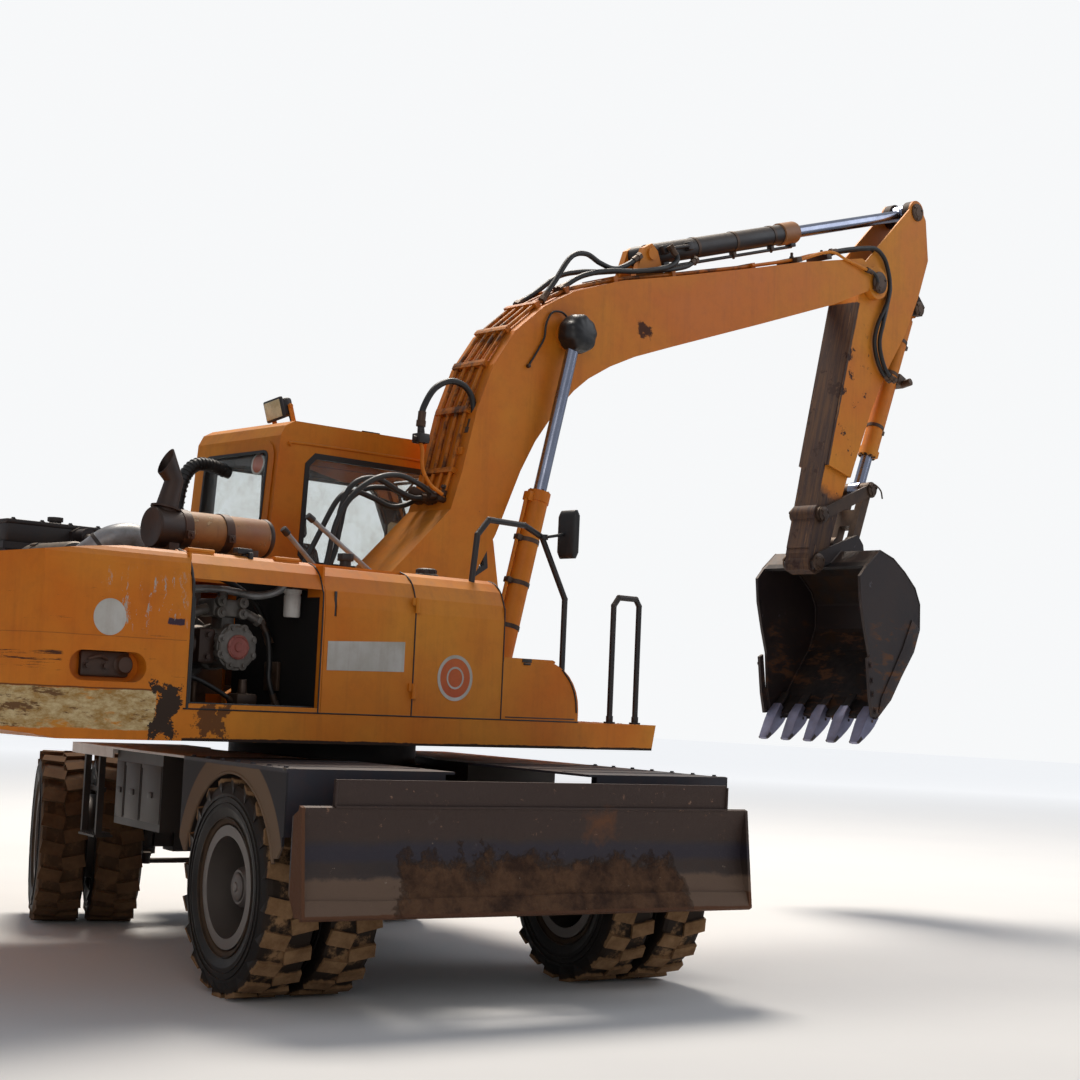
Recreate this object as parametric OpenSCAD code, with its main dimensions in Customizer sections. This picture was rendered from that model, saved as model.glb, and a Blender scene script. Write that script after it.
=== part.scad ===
// Wheeled excavator, 20-tonne class, parked with its boom across the chassis.
// +X is the way the boom points, +Y is the cab side, +Z is up.
// The origin is on the ground under the middle of the slewing ring.

/* [Undercarriage] */
// Heading of the blade end of the chassis, degrees from the boom
chassis_yaw = -101; // [-110:1:-80]
// Distance from the slewing axis to the fixed axle at the blade end
fixed_axle_x = 1620; // [1560:10:1640]
// Distance from the slewing axis to the steered axle
steer_axle_x = 1230; // [1180:10:1300]
// Half the track, to the middle of each pair of tyres
track_half = 955; // [940:5:980]
// Half the distance between the two tyres of a pair
twin_half = 165; // [160:1:175]
// Tyre radius out to the tips of the lugs
tyre_r = 515; // [500:5:520]
// Tyre section width
tyre_w = 280; // [260:5:290]
// Radius of the rim at the tyre bead
rim_r = 254; // [240:2:260]
// Radius of the rim's outer flange
rim_flange_r = 290; // [280:2:300]
// Distance of each kingpin from the chassis middle
kingpin_y = 600; // [590:5:610]
// Angle at which the steered wheels are parked
steer_rest = -14; // [-20:1:0]
// Half the width of the main chassis beam
beam_half = 320; // [290:5:330]
// Underside of the chassis beam
beam_z0 = 560; // [520:5:580]
// Top of the chassis beam
beam_z1 = 950; // [930:5:980]
// Top of the deck plates
deck_z = 1105; // [1095:1:1115]
// Plate thickness of the chassis decks
deck_t = 12; // [8:1:20]

/* [Dozer blade] */
// Width of the blade
blade_w = 2490; // [2400:10:2500]
// Underside of the raised blade
blade_z0 = 465; // [420:5:500]
// Height of the main blade plate
blade_h = 480; // [440:5:500]
// Height of the extra plate on top
blade_lip_h = 125; // [90:5:140]
// Length of the lifting arms between their pins
blade_arm_len = 520; // [505:1:530]
// Upward slope of the arms when the blade is raised
blade_arm_rest = 8; // [6:1:9]
// Distance between the upper and lower pins of the linkage
blade_link_gap = 190; // [180:5:200]

/* [Upper structure] */
// Width of the upper structure
upper_w = 2475; // [2450:5:2490]
// Underside of the revolving frame
frame_z0 = 1195; // [1190:1:1205]
// Top of the frame's side band
frame_z1 = 1345; // [1335:1:1350]
// Front end of the right-hand walkway
frame_x1 = 1520; // [1450:10:1600]
// Seam between the side panels and the counterweight
seam_x = -1750; // [-1770:5:-1740]
// Tail swing radius of the counterweight
tail_r = 2800; // [2700:10:2850]
// Top of the counterweight at the seam
tail_z1 = 2100; // [2080:5:2120]
// Rear post of the pump bay opening
bay_x0 = -1720; // [-1725:1:-1710]
// Front post of the pump bay opening
bay_x1 = -960; // [-970:1:-955]
// Front edge of the right side door
door_x1 = -356; // [-370:1:-340]
// Front edge of the tank panel
tank_x1 = 274; // [260:1:290]
// Front end of the tool box
toolbox_x1 = 870; // [840:5:890]
// Top of the right-hand housings
house_z1 = 2110; // [2090:5:2130]
// Panel and door thickness
panel_t = 40; // [35:1:45]
// Sideways place of the boom's middle plane
boom_y = -35; // [-45:1:-30]

/* [Cab] */
// Inner side wall of the cab
cab_y0 = 335; // [335:1:360]
// Rear wall of the cab at its foot
cab_x0 = -225; // [-250:5:-210]
// Front wall of the cab at its foot
cab_x1 = 1640; // [1600:10:1660]
// Top of the cab roof
cab_z1 = 3090; // [3050:5:3110]
// Thickness of the cab's walls and door
cab_wall = 55; // [45:1:60]
// Thickness of the glass
glass_t = 6; // [5:1:8]

/* [Boom and arm] */
// Half the width of the boom
boom_half = 205; // [195:1:206]
// Half the width of the arm
arm_half = 140; // [130:1:145]
// Half the width of the arm's tip
tip_half = 108; // [100:1:108]
// Half the width of the bucket
bucket_half = 500; // [450:5:520]
// Thickness of the bucket's back sheet
bucket_t = 24; // [18:1:30]
// Outer radius of the boom cylinder barrels
boom_barrel_r = 68; // [60:1:70]
// Radius of the boom cylinder rods
boom_rod_r = 42; // [38:1:44]
// Outer radius of the arm cylinder barrel
arm_barrel_r = 74; // [66:1:78]
// Radius of the arm and bucket cylinder rods
arm_rod_r = 45; // [38:1:46]
// Outer radius of the bucket cylinder barrel
bucket_barrel_r = 66; // [58:1:68]

/* [Hidden] */
// Running gap of a pin or rod in its hole
fit = 0.05;
// Clearance between the cheeks of two bodies that turn on one pin
cheek = 0.3;
half_w = upper_w / 2;
half_deck = 1245;
// Inner face of the cooler stack, behind the left door
cooler_y0 = half_w - 357.5;
fender_x1 = 2245;
spindle_r = 60;
fixed_ball_r = 165;
steer_ball_r = 175;
kingpin_r = 30;
steer_arm = 185;
lug_count = 20;
tow_eye_x = -1830;
tow_eye_z = 740;
tow_eye_r = 24;
hinge_r = 11;
hinge_h = 40;
hinge_step = 450;
right_hinge = [door_x1, -half_w - hinge_r];
left_hinge = [-701, half_w + hinge_r];
cab_hinge = [422, half_w + hinge_r];
lid_hinge = [tank_x1 + 9, 1698];
lid_hinge_r = 7;

// Places in the side view of the row, as [x, z]
foot_pin = [85, 1867];
nose_pin = [4907, 4803];
boom_cyl_foot = [1030, 1500];
boom_cyl_eye = [1606, 3824];
arm_cyl_foot = [2472, 4557];
arm_cyl_eye = [5480, 5495];
bucket_cyl_foot = [5580, 4730];
bucket_pin = [4356, 2587];
idler_pin = [4403, 2953];
rod_pin = [4990, 3200];
link_pin = [4830, 2765];

// Cylinder barrel lengths from the foot pin to the gland's end
boom_barrel_len = 1308;
arm_barrel_len = 1711;
bucket_barrel_len = 1335;
blade_barrel_len = 370;

// Blade linkage pins in the chassis side view, as [x towards the blade, z]
blade_pin_lo = [2300, 640];
blade_pin_up = [2300, 640 + blade_link_gap];
arm_reach = [blade_arm_len * cos(blade_arm_rest), blade_arm_len * sin(blade_arm_rest)];
frame_pin_lo = blade_pin_lo - arm_reach;
frame_pin_up = blade_pin_up - arm_reach;
blade_cyl_foot = [1850, 950];
blade_eye_along = 0.63;
blade_cyl_eye = frame_pin_lo + blade_eye_along * arm_reach;
blade_eye_w = 48;
blade_lug_t = 14;
// Near face of each lug plate beside the eyes of the two blade cylinders
blade_lugs = [for (y = [-200, 200]) for (s = [-1, 1])
    y + s * (blade_eye_w / 2 + cheek + blade_lug_t / 2) - blade_lug_t / 2];

// Box from its low to its high corner on each axis
module block(x0, x1, y0, y1, z0, z1) {
    translate([x0, y0, z0])
        cube([x1 - x0, y1 - y0, z1 - z0]);
}

// Side-view outline of [x, z] points, as wide as y0 to y1
module slab(points, y0, y1) {
    translate([0, y1, 0])
        rotate([90, 0, 0])
            linear_extrude(y1 - y0)
                polygon(points);
}

// The same, as far to both sides of y as half
module centred_slab(points, y, half) {
    slab(points, y - half, y + half);
}

// Round bar across the machine at [x, z]
module cross_bar(at, y0, y1, r) {
    translate([at[0], y1, at[1]])
        rotate([90, 0, 0])
            cylinder(h = y1 - y0, r = r, $fn = 64);
}

// Round rod from p to q
module rod_between(p, q, r, n = 24) {
    v = q - p;
    translate(p)
        rotate([0, acos(v[2] / norm(v)), atan2(v[1], v[0])])
            cylinder(h = norm(v), r = r, $fn = n);
}

// Bent tube through a list of points, with a ball at each bend
module bent_tube(points, r) {
    for (i = [0 : len(points) - 2])
        rod_between(points[i], points[i + 1], r);
    for (i = [1 : 1 : len(points) - 2])
        translate(points[i])
            sphere(r = r * 1.06, $fn = 16);
}

// Local +Z runs from a to b, both [x, z] in the side view
module aim(a, b) {
    translate([a[0], 0, a[1]])
        rotate([0, atan2(b[0] - a[0], b[1] - a[1]), 0])
            children();
}

// Places its children in the chassis frame, whose +X runs towards the blade
module on_chassis() {
    rotate([0, 0, chassis_yaw])
        children();
}

// Left normal of an outline at point i
function edge_dir(p, i) = p[min(i + 1, len(p) - 1)] - p[max(i - 1, 0)];
function left_of(d) = [-d[1], d[0]] / norm(d);
// Closed strip of thickness t to the left of an open line of points
function strip(p, t) = concat(p, [for (i = [len(p) - 1 : -1 : 0]) p[i] + t * left_of(edge_dir(p, i))]);
// Points on an arc about c
function arc(c, r, a0, a1, n) =
    [for (i = [0 : n]) c + r * [cos(a0 + (a1 - a0) * i / n), sin(a0 + (a1 - a0) * i / n)]];

// Circle centre for an arc of radius r from p to q, bulging to the right
function bow(p, q, r) = (p + q) / 2 + left_of(q - p) * -sqrt(r * r - pow(norm(q - p) / 2, 2));
// Points of that arc, curved towards the left of the way from p to q
function bow_arc(p, q, r, n) = let (c = bow(p, q, r), a = atan2(p[1] - c[1], p[0] - c[0]),
    b = atan2(q[1] - c[1], q[0] - c[0]), d = ((b - a + 540) % 360) - 180) arc(c, r, a, a + d, n);

// Puts its children at a wheel pair: side -1 is left, 1 is right
module at_fixed_pair(side) {
    on_chassis()
        translate([fixed_axle_x, side * track_half, tyre_r])
            mirror([0, side < 0 ? 1 : 0, 0])
                children();
}

// Puts its children at a kingpin, turned as the wheels are parked
module at_kingpin(side) {
    on_chassis()
        translate([-steer_axle_x, side * kingpin_y, tyre_r])
            rotate([0, 0, steer_rest])
                mirror([0, side < 0 ? 1 : 0, 0])
                    children();
}

module at_steered_pair(side) {
    at_kingpin(side)
        translate([0, track_half - kingpin_y, 0])
            children();
}

// Revolves [radius, outward] points about the wheel's axle
module wheel_turn(points) {
    rotate([-90, 0, 0])
        rotate_extrude($fn = 96)
            polygon(points);
}

// Undercarriage

// Side plates, end walls and turret table of the chassis, hollow and open below
module chassis_frame() {
    color("dimgray")
        on_chassis()
            difference() {
                union() {
                    block(-1760, 1810, -beam_half, beam_half, beam_z0, beam_z1);
                    translate([0, 0, beam_z1])
                        cylinder(h = 70, r = 615, $fn = 64);
                    block(-560, 1000, -620, 620, beam_z1 - 170, beam_z1);
                    for (y = [-beam_half - 30, beam_half])
                        slab([[1500, 650], [1700, 540], frame_pin_lo + [0, -50], frame_pin_lo + [45, -20],
                              frame_pin_up + [45, 20], [1800, 1010], [1500, 1010]], y, y + 30);
                    for (y = blade_lugs)
                        slab([[1800, 915], [1855, 912], [1882, 935], [1885, 955], [1870, 985], [1800, 1010]],
                             y, y + blade_lug_t);
                    for (at = [frame_pin_lo, frame_pin_up])
                        for (s = [-1, 1])
                            cross_bar(at, s * (beam_half + 52) - 42, s * (beam_half + 52) + 42, 25);
                    for (s = [-1, 1])
                        cross_bar(blade_cyl_foot, s * 200 - 38, s * 200 + 38, 20);
                    block(tow_eye_x - 60, -1750, -70, 70, tow_eye_z - 20, tow_eye_z + 20);
                }
                block(-1720, 1790, -beam_half + 30, beam_half - 30, beam_z0 - 1, beam_z1 - 40);
                for (x = [-steer_axle_x, fixed_axle_x])
                    block(x - 135, x + 135, -700, 700, 0, 640);
                translate([tow_eye_x, 0, 600])
                    cylinder(h = 300, r = tow_eye_r, $fn = 48);
                for (s = [-1, 1])
                    block(-520, 960, s * 460 - 130, s * 460 + 130, 700, beam_z1 - 30);
            }
}

// Lower race of the slewing ring with its bolted flange
module slew_ring() {
    color("#2b2a29")
        translate([0, 0, beam_z1 + 70])
            difference() {
                union() {
                    cylinder(h = 40, r = 600, $fn = 96);
                    cylinder(h = frame_z0 - beam_z1 - 70 - cheek, r = 545, $fn = 96);
                }
                translate([0, 0, -1])
                    cylinder(h = 300, r = 420, $fn = 96);
            }
}

// Axle housing with its differential, brake ends and wheel spindles
module fixed_axle() {
    at = [fixed_axle_x, tyre_r];
    color("#3a3532")
        on_chassis() {
            cross_bar(at, -640, 640, 105);
            translate([at[0], 0, at[1]])
                sphere(r = fixed_ball_r, $fn = 48);
            for (s = [-1, 1]) {
                cross_bar(at, s * 580 - 60, s * 580 + 60, 135);
                cross_bar(at, s * 880 - 260, s * 880 + 260, spindle_r);
                block(at[0] - 90, at[0] + 90, s * 260 - 50, s * 260 + 50, tyre_r + 60, 640);
            }
        }
}

// Steered axle beam with an eye for each kingpin
module steer_axle() {
    color("#3a3532")
        on_chassis()
            translate([-steer_axle_x, 0, tyre_r])
                difference() {
                    union() {
                        block(-90, 90, -440, 440, -85, 85);
                        block(-75, 75, -560, 560, -55, 55);
                        sphere(r = steer_ball_r, $fn = 48);
                        for (s = [-1, 1])
                            translate([0, s * kingpin_y, -58])
                                cylinder(h = 116, r = 72, $fn = 64);
                        block(-70, 70, -230, 230, 80, 640 - tyre_r);
                    }
                    for (s = [-1, 1])
                        translate([0, s * kingpin_y, -100])
                            cylinder(h = 200, r = kingpin_r + fit, $fn = 64);
                }
}

// Drive shaft from a to the face of the differential of radius r about b
module shaft_to(a, b, r) {
    rod_between(a, b - (r + cheek) * (b - a) / norm(b - a), 38, 32);
}

// Transfer gearbox under the turret and a drive shaft to each axle
module drive_train() {
    color("#2f2d2b")
        on_chassis() {
            block(-170, 190, -170, 170, 600, 880);
            shaft_to([190, 0, 660], [fixed_axle_x, 0, tyre_r], fixed_ball_r);
            shaft_to([-170, 0, 660], [-steer_axle_x, 0, tyre_r], steer_ball_r);
        }
}

// Tool boxes and hanging steps between the axles, one set each side
module tool_boxes() {
    color("#4a423b")
        on_chassis()
            for (s = [0, 1])
                mirror([0, s, 0]) {
                    difference() {
                        block(-60, 640, -half_deck + 30, -620, 690, deck_z - deck_t);
                        for (x = [80, 330])
                            block(x, x + 14, -half_deck + 29, -half_deck + 39, 740, 1010);
                    }
                    for (x = [-572, -330])
                        block(x, x + 25, -half_deck + 15, -half_deck + 50, 600, deck_z - deck_t);
                    block(-572, -305, -half_deck + 5, -half_deck + 115, 588, 600);
                    block(-572, -305, -half_deck + 50, -half_deck + 62, 840, 866);
                }
}

// Pale tread plates along both sides of the turret
module deck_plates() {
    color("lightgray")
        on_chassis()
            for (s = [0, 1])
                mirror([0, s, 0]) {
                    difference() {
                        block(-760, 1000, -half_deck, -560, deck_z - deck_t, deck_z);
                        translate([0, 0, deck_z - 50])
                            cylinder(h = 100, r = 650, $fn = 96);
                    }
                    block(-760, -60, -half_deck, -half_deck + 10, deck_z - 60, deck_z - deck_t);
                    block(-760, -748, -half_deck + 10, -560, deck_z - 60, deck_z - deck_t);
                    block(-560, -100, -900, -655, deck_z - 110, deck_z - deck_t);
                }
}

// Fenders over the fixed axle, each with an arched side plate
module fenders() {
    color("#20223a")
        on_chassis()
            for (s = [0, 1])
                mirror([0, s, 0]) {
                    block(1000, fender_x1, -half_deck, -380, deck_z - deck_t, deck_z);
                    block(fender_x1 - 12, fender_x1, -half_deck, -430, 800, deck_z - deck_t);
                    difference() {
                        slab([[1000, 700], [1060, 640], [fender_x1 - 60, 700], [fender_x1 - 12, 760],
                              [fender_x1 - 12, deck_z - deck_t], [1000, deck_z - deck_t]],
                             -half_deck, -half_deck + 12);
                        cross_bar([fixed_axle_x, tyre_r - 10], -half_deck - 10, -half_deck + 20, 545);
                    }
                }
}

// Steering knuckle in its own frame: kingpin on the origin, spindle along +Y
module knuckle_shape() {
    for (z = [62, -100])
        translate([0, 0, z]) {
            cylinder(h = 38, r = 72, $fn = 64);
            block(-72, 72, 0, 112, 0, 38);
        }
    block(-72, 72, 84, 112, -100, 100);
    translate([0, 0, -100])
        cylinder(h = 200, r = kingpin_r, $fn = 64);
    cross_bar([0, 0], 84, 540, spindle_r);
}

module knuckle(side) {
    color("#3a3532")
        at_kingpin(side)
            difference() {
                union() {
                    knuckle_shape();
                    block(0, steer_arm, -28, 28, -100, -80);
                    translate([steer_arm, 0, -100])
                        cylinder(h = 20, r = 28, $fn = 48);
                }
                translate([steer_arm, 0, -120])
                    cylinder(h = 60, r = 12 + fit, $fn = 48);
            }
}

module knuckle_left() { knuckle(-1); }
module knuckle_right() { knuckle(1); }

// Track rod between the two steering arms, straight across the chassis
module tie_rod() {
    dx = steer_arm * cos(steer_rest);
    dy = steer_arm * sin(steer_rest);
    color("#4a4540")
        on_chassis()
            translate([-steer_axle_x + dx, dy, tyre_r - 130]) {
                cross_bar([0, 0], -kingpin_y, kingpin_y, 16);
                for (s = [-1, 1])
                    translate([0, s * kingpin_y, -18])
                        cylinder(h = 48 - cheek, r = 24, $fn = 48);
                for (s = [-1, 1])
                    translate([0, s * kingpin_y, -18])
                        cylinder(h = 68, r = 12, $fn = 48);
            }
}

// One tyre about its own middle, as [radius, outward]
module tyre() {
    w = tyre_w / 2;
    b = w - 34;
    wheel_turn([[rim_r + 0.2, -b], [rim_flange_r + 4, -b], [rim_flange_r + 12, -w + 20], [rim_r + 120, -w],
                [tyre_r - 75, -w + 4], [tyre_r - 28, -w + 18], [tyre_r - 20, -w + 40], [tyre_r - 20, w - 40],
                [tyre_r - 28, w - 18], [tyre_r - 75, w - 4], [rim_r + 120, w], [rim_flange_r + 12, w - 20],
                [rim_flange_r + 4, b], [rim_r + 0.2, b]]);
    for (i = [0 : lug_count - 1])
        for (s = [-1, 1])
            rotate([0, (i + s / 4) * 360 / lug_count, 0])
                translate([tyre_r - 85, s * (w - 10) / 2, 0])
                    rotate([s * 12, 0, 0])
                        translate([0, -w / 2 + 4, -38])
                            cube([83, w - 10, 76]);
}

module tyre_pair() {
    color("#2a2622")
        for (s = [-1, 1])
            translate([0, s * twin_half, 0])
                tyre();
}

// Twin rim with its disc and hub, bored for the spindle
module rim_pair() {
    a = twin_half + tyre_w / 2 - 20;
    color("#33302d") {
        wheel_turn([[rim_r - 14, -a], [rim_flange_r, -a], [rim_flange_r, -a + 10], [rim_r, -a + 12],
                    [rim_r, a - 12], [rim_flange_r, a - 10], [rim_flange_r, a], [rim_r - 14, a]]);
        wheel_turn([[110, -8], [rim_r - 14, -8], [rim_r - 14, 8], [110, 8]]);
        wheel_turn([[spindle_r + fit, -225], [120, -225], [130, -60], [130, 60], [105, 120], [95, 205],
                    [80, 225], [0, 225], [0, 200], [spindle_r + fit, 200]]);
    }
}

module tyres_steer_left() { at_steered_pair(-1) tyre_pair(); }
module tyres_steer_right() { at_steered_pair(1) tyre_pair(); }
module tyres_blade_left() { at_fixed_pair(-1) tyre_pair(); }
module tyres_blade_right() { at_fixed_pair(1) tyre_pair(); }
module rims_steer_left() { at_steered_pair(-1) rim_pair(); }
module rims_steer_right() { at_steered_pair(1) rim_pair(); }
module rims_blade_left() { at_fixed_pair(-1) rim_pair(); }
module rims_blade_right() { at_fixed_pair(1) rim_pair(); }

// Dozer blade

// Flat bar in the side view between two pins, bored at both
module link_bar(a, b, y0, y1, r, bore) {
    n = (r - 2) * left_of(b - a);
    difference() {
        union() {
            slab([a + n, b + n, b - n, a - n], y0, y1);
            cross_bar(a, y0, y1, r);
            cross_bar(b, y0, y1, r);
        }
        cross_bar(a, y0 - 5, y1 + 5, bore + fit);
        cross_bar(b, y0 - 5, y1 + 5, bore + fit);
    }
}

// Lower lifting arms, joined by a tube that carries the cylinder lugs
module blade_arms() {
    tube = frame_pin_lo + 0.83 * arm_reach;
    y0 = beam_half + 30 + cheek;
    color("#3d3733")
        on_chassis() {
            for (s = [0, 1])
                mirror([0, s, 0])
                    link_bar(frame_pin_lo, blade_pin_lo, y0, y0 + 40, 42, 25);
            cross_bar(tube, -y0, y0, 32);
            for (y = blade_lugs)
                slab([blade_cyl_eye + [-5, 34], tube + [0, 32], tube + [0, -32], blade_cyl_eye + [-5, -34],
                      blade_cyl_eye + [-34, 0]], y, y + blade_lug_t);
        }
}

// Upper links that keep the blade upright
module blade_links() {
    y0 = beam_half + 30 + cheek;
    color("#3d3733")
        on_chassis()
            for (s = [0, 1])
                mirror([0, s, 0])
                    link_bar(frame_pin_up, blade_pin_up, y0, y0 + 40, 38, 25);
}

// Curved blade plate, its upper plate, end plates, stiffener and pin lugs
module dozer_blade() {
    w = blade_w / 2;
    edge = [2480, blade_z0];
    top = [2420, blade_z0 + blade_h];
    face = bow_arc(edge, top, 560, 10);
    y1 = beam_half + 70 + 2 * cheek;
    color("#453a33")
        on_chassis() {
            slab(strip(face, 25), -w, w);
            slab([[2395, blade_z0 + 60], [2375, 700], [2372, 880], [2350, 860], [2350, 600]],
                 -w + 60, w - 60);
            slab([[2384, top[1] - 30], [2410, top[1] - 30], [2418, top[1] + blade_lip_h],
                  [2394, top[1] + blade_lip_h]], -w + 165, w - 135);
            for (s = [-1, 1]) {
                slab([edge, top, [2330, 900], [2330, 560], [2400, blade_z0]],
                     s * (w - 8) - 8, s * (w - 8) + 8);
                slab([blade_pin_lo + [-40, 0], blade_pin_lo + [-20, -38], [2360, 580], [2360, 890],
                      blade_pin_up + [-20, 38], blade_pin_up + [-40, 0]],
                     s * (y1 + 14) - 14, s * (y1 + 14) + 14);
                for (at = [blade_pin_lo, blade_pin_up])
                    cross_bar(at, s * (y1 - 6) - 34, s * (y1 - 6) + 34, 25);
            }
        }
}

// Eye of a hydraulic cylinder, as wide as w, round the point at its own origin
module cylinder_eye(r, w) {
    translate([0, w / 2, 0])
        rotate([90, 0, 0])
            cylinder(h = w, r = r, $fn = 64);
}

// Barrel along +Z from its foot pin, bored for the rod and at the foot
module barrel(len, r, rod, eye_r, eye_w, pin) {
    difference() {
        union() {
            cylinder_eye(eye_r, eye_w);
            translate([0, 0, eye_r - 12])
                cylinder(h = 60, r = eye_w / 2, $fn = 64);
            translate([0, 0, eye_r + 25])
                cylinder(h = len - eye_r - 25, r = r, $fn = 64);
            translate([0, 0, len - 70])
                cylinder(h = 70, r = r + 6, $fn = 64);
        }
        cylinder_eye(pin + fit, eye_w + 10);
        translate([0, 0, eye_r + 40])
            cylinder(h = len, r = rod + fit, $fn = 64);
    }
}

// Rod along +Z to its eye at reach, with its own short pin drawn solid
module rod(from, reach, r, eye_r, eye_w) {
    translate([0, 0, from])
        cylinder(h = reach - from, r = r, $fn = 64);
    translate([0, 0, reach])
        cylinder_eye(eye_r, eye_w);
}

module at_blade_cylinders() {
    on_chassis()
        for (y = [-200, 200])
            translate([0, y, 0])
                aim(blade_cyl_foot, blade_cyl_eye)
                    children();
}

module blade_barrels() {
    color("#3d3733")
        at_blade_cylinders()
            barrel(blade_barrel_len, 38, 22, 34, blade_eye_w, 20);
}

module blade_rods() {
    color("silver")
        at_blade_cylinders()
            rod(82, norm(blade_cyl_eye - blade_cyl_foot), 22, 32, blade_eye_w);
}

// Upper structure

// Extrudes a rear-view outline of [y, z] points from x0 to x1
module rail(points, x0, x1) {
    translate([x0, 0, 0])
        rotate([90, 0, 90])
            linear_extrude(x1 - x0)
                polygon(points);
}

// Outer face of the right side, leaning in at the top
side_face = [[-half_w, frame_z1], [-half_w, 1890], [-half_w + 12, 1970], [-half_w + 45, 2045],
             [-half_w + 95, 2090], [-half_w + 150, house_z1]];
left_face = [for (p = side_face) [-p[0], p[1]]];
tank_shape = concat(side_face, [[-450, house_z1], [-450, frame_z1]]);
toolbox_z1 = 1690;
toolbox_shape = concat([[tank_x1, frame_z1], [toolbox_x1, frame_z1]],
                       arc([toolbox_x1 - 260, frame_z1 + 70], 260, 0, 70, 6),
                       [[toolbox_x1 - 200, toolbox_z1 - 20], [tank_x1, toolbox_z1 - 20]]);

// Side bands, floor plates and the two plates that carry the boom
module upper_frame() {
    color("darkorange")
        difference() {
            union() {
                for (s = [-1, 1])
                    centred_slab([[seam_x, frame_z0], [frame_x1 - 30, frame_z0], [frame_x1, frame_z1],
                                  [seam_x, frame_z1]], s * (half_w - 45), 45);
                block(seam_x, frame_x1 - 40, -half_w + 90, half_w - 90, frame_z0, frame_z0 + 20);
                block(seam_x, frame_x1 - 40, -half_w + 90, -450, frame_z1 - 12, frame_z1);
                block(seam_x, frame_x1 - 40, 340, half_w - 90, frame_z1 - 12, frame_z1);
                block(frame_x1 - 52, frame_x1 - 40, -half_w + 90, half_w - 90, frame_z0 + 20, frame_z1 - 12);
                block(seam_x, seam_x + 30, -half_w + 90, half_w - 90, frame_z0 + 20, frame_z1);
                for (s = [-1, 1])
                    slab([[-880, frame_z0 + 20], [620, frame_z0 + 20], [420, 1700], [200, 1960],
                          foot_pin + [0, 110], [-20, 1950], [-330, 1750], [-880, 1420]],
                         boom_y + s * 228 - 20, boom_y + s * 228 + 20);
                for (y = [-350, -250, 225, 325])
                    slab([[900, frame_z0 + 20], [1150, frame_z0 + 20], [1090, 1500], [1060, 1555],
                          [1000, 1555], [960, 1500]],
                         boom_y + y, boom_y + y + 25 - (y == -250 || y == 325 ? 0 : cheek));
                cross_bar(foot_pin, boom_y - 255, boom_y + 255, 55);
                for (s = [-1, 1])
                    cross_bar(boom_cyl_foot, boom_y + s * 287 - 63, boom_y + s * 287 + 63, 40);
            }
            translate([0, 0, frame_z0 - 1])
                cylinder(h = 50, r = 300, $fn = 64);
        }
}

// Cast tail weight: round in plan, rounded above, with a recess each side
module counterweight() {
    color("darkorange")
        difference() {
            intersection() {
                translate([0, 0, frame_z0])
                    linear_extrude(tail_z1 - frame_z0)
                        intersection() {
                            circle(r = tail_r, $fn = 128);
                            translate([-3000, -half_w])
                                square([3000 + seam_x, upper_w]);
                        }
                slab([[seam_x, frame_z0], [-2400, frame_z0], [-2900, frame_z0 + 80], [-2900, 1960],
                      [-2760, 2010], [-2300, 2075], [-2050, tail_z1], [seam_x, tail_z1]], -half_w, half_w);
                rail(concat([[-half_w, frame_z0]], arc([-half_w + 90, tail_z1 - 90], 90, 180, 90, 5),
                            arc([half_w - 90, tail_z1 - 90], 90, 90, 0, 5), [[half_w, frame_z0]]),
                     -2900, seam_x);
            }
            for (s = [-1, 1])
                hull_slot(s);
            block(-2450, seam_x + 10, -700, 700, 1500, tail_z1 - 40);
        }
}

// Rounded recess in the side of the tail weight
module hull_slot(s) {
    for (x = [-2290, -2030])
        cross_bar([x, 1530], s * (half_w - 20) - 60, s * (half_w - 20) + 60, 70);
    block(-2290, -2030, s * (half_w - 20) - 60, s * (half_w - 20) + 60, 1460, 1600);
}

// Stacked hinge barrels on an upright axis at [x, y], each with a leaf back to its panel
module hinge_barrels(at, from, count, leaf) {
    for (i = [0 : count - 1])
        translate([at[0], at[1], from + i * hinge_step]) {
            cylinder(h = hinge_h, r = hinge_r, $fn = 32);
            translate([min(leaf[0], 0), min(leaf[1], 0), 0])
                cube([max(abs(leaf[0]), 1), max(abs(leaf[1]), 1), hinge_h]);
        }
}

// Posts, sill and top beam round the open pump bay, with its inner walls
module pump_bay() {
    wall = 20;
    color("darkorange") {
        rail(concat(side_face, [for (i = [5 : -1 : 0]) side_face[i] + [wall, i > 3 ? -wall : 0]]),
             seam_x, bay_x0);
        rail(concat(side_face, [for (i = [5 : -1 : 0]) side_face[i] + [wall, i > 3 ? -wall : 0]]),
             bay_x1, bay_x1 + 12);
        rail([side_face[2], side_face[3], side_face[4], side_face[5], side_face[5] + [0, -wall],
              side_face[4] + [wall, -wall], side_face[3] + [wall, -wall / 2], side_face[2] + [wall, 0]],
             bay_x0, bay_x1);
        block(bay_x0, bay_x1, -half_w, -half_w + 60, frame_z1, frame_z1 + 28);
        block(bay_x1, bay_x1 + 12, -half_w + wall, -450, frame_z1, house_z1 - wall);
        block(bay_x0, bay_x1 + 12, side_face[5][0], -860, house_z1 - wall, house_z1);
        for (x = [-1590, -1110])
            block(x, x + 60, -860, -450, house_z1 - 30, house_z1);
        block(seam_x, seam_x + 12, -half_w + wall, -450, frame_z1, house_z1 - wall);
    }
}

// Right-hand housing behind the tool box: tank, valve bay roof and rear wall
module tank_housing() {
    wall = 20;
    x0 = bay_x1 + 12;
    color("darkorange") {
        rail(tank_shape, door_x1, tank_x1);
        block(x0, door_x1, side_face[5][0], -450, house_z1 - wall, house_z1);
        block(x0, door_x1, -470, -450, frame_z1, house_z1 - wall);
        hinge_barrels(right_hinge, 1440, 2, [30, hinge_r]);
    }
}

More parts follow.
